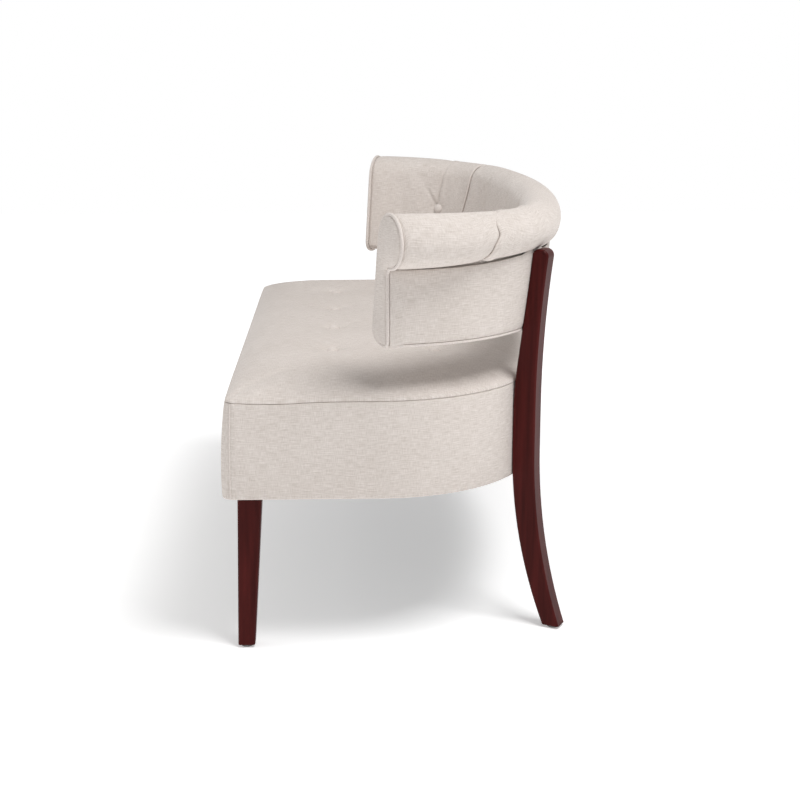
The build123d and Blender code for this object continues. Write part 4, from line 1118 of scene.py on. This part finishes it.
# Piping, welt and seam cords: thin cords covered in bias-cut linen, sewn round each arm front, along the
# foot of the outside panels, into the two seams on the inside of the back and into the seams at the seat's
# front corners.
PIPING_R = 0.0030
PIPING_OUT = 0.0015
WELT_R = 0.0025
WELT_OUT = 0.0114
WELT_TUCK = 0.0050
TUCK_RUN = 0.016
WELT_END_STEPS = 96
WELT_BOW_STEPS = 140
SEAM_CORD_R = 0.0025
SEAM_CORD_IN = 0.0006
SEAM_CORD_ROLL = 0.42
SINK_ROWS = 9
SINK_DEPTH = 0.0056
CORNER_CORD_R = 0.0014
CORD_SIDES = 10
trim, tree, shader, place = new_material("trim_linen", {"Roughness": 0.9, "Sheen Weight": 0.12})
bias = noise(tree, on_cloth(tree), (420, 420, 1), 3)
tint(tree, shader, bias, 0.3, 0.7, (0.600, 0.540, 0.500, 1), (0.740, 0.680, 0.640, 1))
bump(tree, shader, bias, 0.0004, 0.6)


def cord_mesh(name, path, radius, loop):
    """A round cord along a line of points."""
    if loop:
        ways = np.roll(path, -1, axis=0) - np.roll(path, 1, axis=0)
    else:
        ways = np.gradient(path, axis=0)
    ways /= np.linalg.norm(ways, axis=1, keepdims=True)
    side = np.cross(ways[0], (0.0, 0.0, 1.0))
    if np.linalg.norm(side) <= 0.2:
        side = np.array([1.0, 0, 0])
    turns = 2 * math.pi * np.arange(CORD_SIDES)[:, None] / CORD_SIDES
    grid = []
    for spot, way in zip(path, ways):
        side = side - way * np.dot(side, way)
        side /= np.linalg.norm(side)
        grid.append(spot + radius * (side * np.cos(turns) + np.cross(way, side) * np.sin(turns)))
    cord = woven_grid(name, np.array(grid), running(path, loop), trim, loop)
    refine(cord)
    return cord


pipe_line = resample(move_in(arm_outline, PIPING_R - PIPING_OUT), FACING_PITCH)
pipe_path = on_front_plane(pipe_line, FACING_T - PIPING_R)
for name, node, sign in (("arm_piping_right_cord", "arm_piping_right", 1),
                         ("arm_piping_left_cord", "arm_piping_left", -1)):
    piping = cord_mesh(name, pipe_path * (sign, 1, 1), PIPING_R, True)
    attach(piping, "root")
    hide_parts(node)

welt_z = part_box("back_welt")[0].z + WELT_R
welt_start = facing_cut(WELT_OUT, FACING_T - PIPING_R)
welt_end = np.linspace(welt_start, CORNER_TURN, WELT_END_STEPS)
welt_bow = np.linspace(CORNER_TURN, math.pi - CORNER_TURN, WELT_BOW_STEPS)
welt_turns = np.concatenate([welt_end, welt_bow[1:-1], math.pi - welt_end[::-1]])
welt_path = []
for turn in welt_turns:
    along = plan_run(min(turn, math.pi - turn)) - plan_run(welt_start)
    tuck = WELT_TUCK * (1 - float(smooth(along / TUCK_RUN)))
    welt_path.append((*plan_spot(turn, WELT_OUT - tuck), welt_z - foot_dip(along) + tuck))
welt = cord_mesh("back_welt_cord", np.array(welt_path), WELT_R, False)
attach(welt, "root")
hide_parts("back_welt")

seam_section, seam_ways, _ = back_section(SEAM_TURN, PANEL_SKIN)
seam_rows = slice(FOOT + 1, ROLL_ROW + round(SEAM_CORD_ROLL * ROLL))
sinking = np.full(len(seam_section[seam_rows]), SEAM_CORD_IN)
sinking[-SINK_ROWS:] += SINK_DEPTH * smooth(np.arange(1, SINK_ROWS + 1) / SINK_ROWS)
seam_line = seam_section[seam_rows] - seam_ways[seam_rows] * sinking[:, None]
for name, turn in (("seam_cord_right", SEAM_TURN), ("seam_cord_left", math.pi - SEAM_TURN)):
    leaning = seam_lean(turn, running(seam_section))[seam_rows]
    path = np.array([(*plan_spot(turn + lean, n), z) for (n, z), lean in zip(seam_line, leaning)])
    seam_cord = cord_mesh(name, path, SEAM_CORD_R, False)
    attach(seam_cord, "root")
for name, sign in (("corner_cord_right", 1), ("corner_cord_left", -1)):
    corner_cord = cord_mesh(name, corner_line * (sign, 1, 1), CORNER_CORD_R, False)
    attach(corner_cord, "root")


# Studio: a pale floor that glows (painted light), weakly near the settee and more strongly further out, so
# that it fades into a white background; soft light from above and behind with a weaker one from the front,
# and a camera near the right end, looking along the settee.
BACKDROP = 1.0
AMBIENT = 0.37
FLOOR_GLOW_NEAR = 0.34
FLOOR_GLOW_FAR = 0.70
GLOW_RAMP_FROM = 0.65
GLOW_RAMP_TO = 1.9
FLOOR_REACH = 6.0
floor_paint, tree, shader, place = new_material("studio_floor", {
    "Roughness": 0.9, "Specular IOR Level": 0.0, "Emission Color": (1, 1, 1, 1)})
scatter = noise(tree, place, (6, 6, 6), 2)
tint(tree, shader, scatter, 0.2, 0.8, (0.93, 0.93, 0.93, 1), (0.95, 0.95, 0.95, 1))
# Painted light: the floor's glow grows with distance from the settee's middle, so the floor stays greyer
# under and round the settee and turns white further out; the glow also lights the settee from below.
distance = tree.nodes.new("ShaderNodeVectorMath")
distance.operation = "LENGTH"
tree.links.new(place, distance.inputs[0])
glow_ramp = tree.nodes.new("ShaderNodeMapRange")
glow_ramp.interpolation_type = "SMOOTHSTEP"
set_inputs(glow_ramp, {"From Min": GLOW_RAMP_FROM, "From Max": GLOW_RAMP_TO, "To Min": FLOOR_GLOW_NEAR, "To Max": FLOOR_GLOW_FAR})
tree.links.new(distance.outputs["Value"], glow_ramp.inputs["Value"])
tree.links.new(glow_ramp.outputs["Result"], shader.inputs["Emission Strength"])
floor_mesh = bpy.data.meshes.new("floor")
corners = ((-1, -1), (1, -1), (1, 1), (-1, 1))
floor_mesh.from_pydata([(x * FLOOR_REACH, y * FLOOR_REACH, 0) for x, y in corners], [], [(0, 1, 2, 3)])
floor_mesh.materials.append(floor_paint)
floor = add_object("floor", floor_mesh)

world = bpy.data.worlds.new("studio")
bpy.context.scene.world = world
world.use_nodes = True
sky = world.node_tree
for node in list(sky.nodes):
    sky.nodes.remove(node)
rays = sky.nodes.new("ShaderNodeLightPath")
seen = combine(sky, "ADD", rays.outputs["Is Camera Ray"], rays.outputs["Is Glossy Ray"])
seen = combine(sky, "ADD", seen, rays.outputs["Is Transmission Ray"])
seen = combine(sky, "MINIMUM", seen, 1.0)
strength = combine(sky, "MULTIPLY_ADD", seen, BACKDROP - AMBIENT)
strength.node.inputs[2].default_value = AMBIENT
glow = sky.nodes.new("ShaderNodeBackground")
sky.links.new(strength, glow.inputs["Strength"])
glow.inputs["Color"].default_value = (1, 1, 1, 1)
sky_out = sky.nodes.new("ShaderNodeOutputWorld")
sky.links.new(glow.outputs["Background"], sky_out.inputs["Surface"])


def aim_from(thing, spot, sight):
    """Puts a lamp or camera at a spot, looking along a line of sight."""
    thing.location = spot
    thing.rotation_euler = sight.to_track_quat("-Z", "Y").to_euler()


def soft_box(name, spot, target, size, power):
    """A square area light aimed at a point."""
    lamp = bpy.data.lights.new(name, "AREA")
    lamp.size = size
    lamp.energy = power
    aim_from(add_object(name, lamp), spot, Vector(target) - Vector(spot))


soft_box("key", (1.35, 1.05, 3.2), (0.2, 0, 0.5), size=1.3, power=70)
soft_box("front", (0.2, -2.7, 2.0), (0, 0, 0.6), size=2.2, power=17)

EYE = Vector((2.91993, -0.08881, 1.01709))
YAW = 0.0328
PITCH = 0.24
LENS = 66.02
camera_data = bpy.data.cameras.new("camera")
camera_data.sensor_width = 36
camera_data.lens = LENS
camera = add_object("camera", camera_data)
aim_from(camera, EYE, Vector((-math.cos(YAW) * math.cos(PITCH), math.sin(YAW) * math.cos(PITCH),
                              -math.sin(PITCH))))
bpy.context.scene.camera = camera
bpy.context.scene.view_settings.view_transform = "Standard"
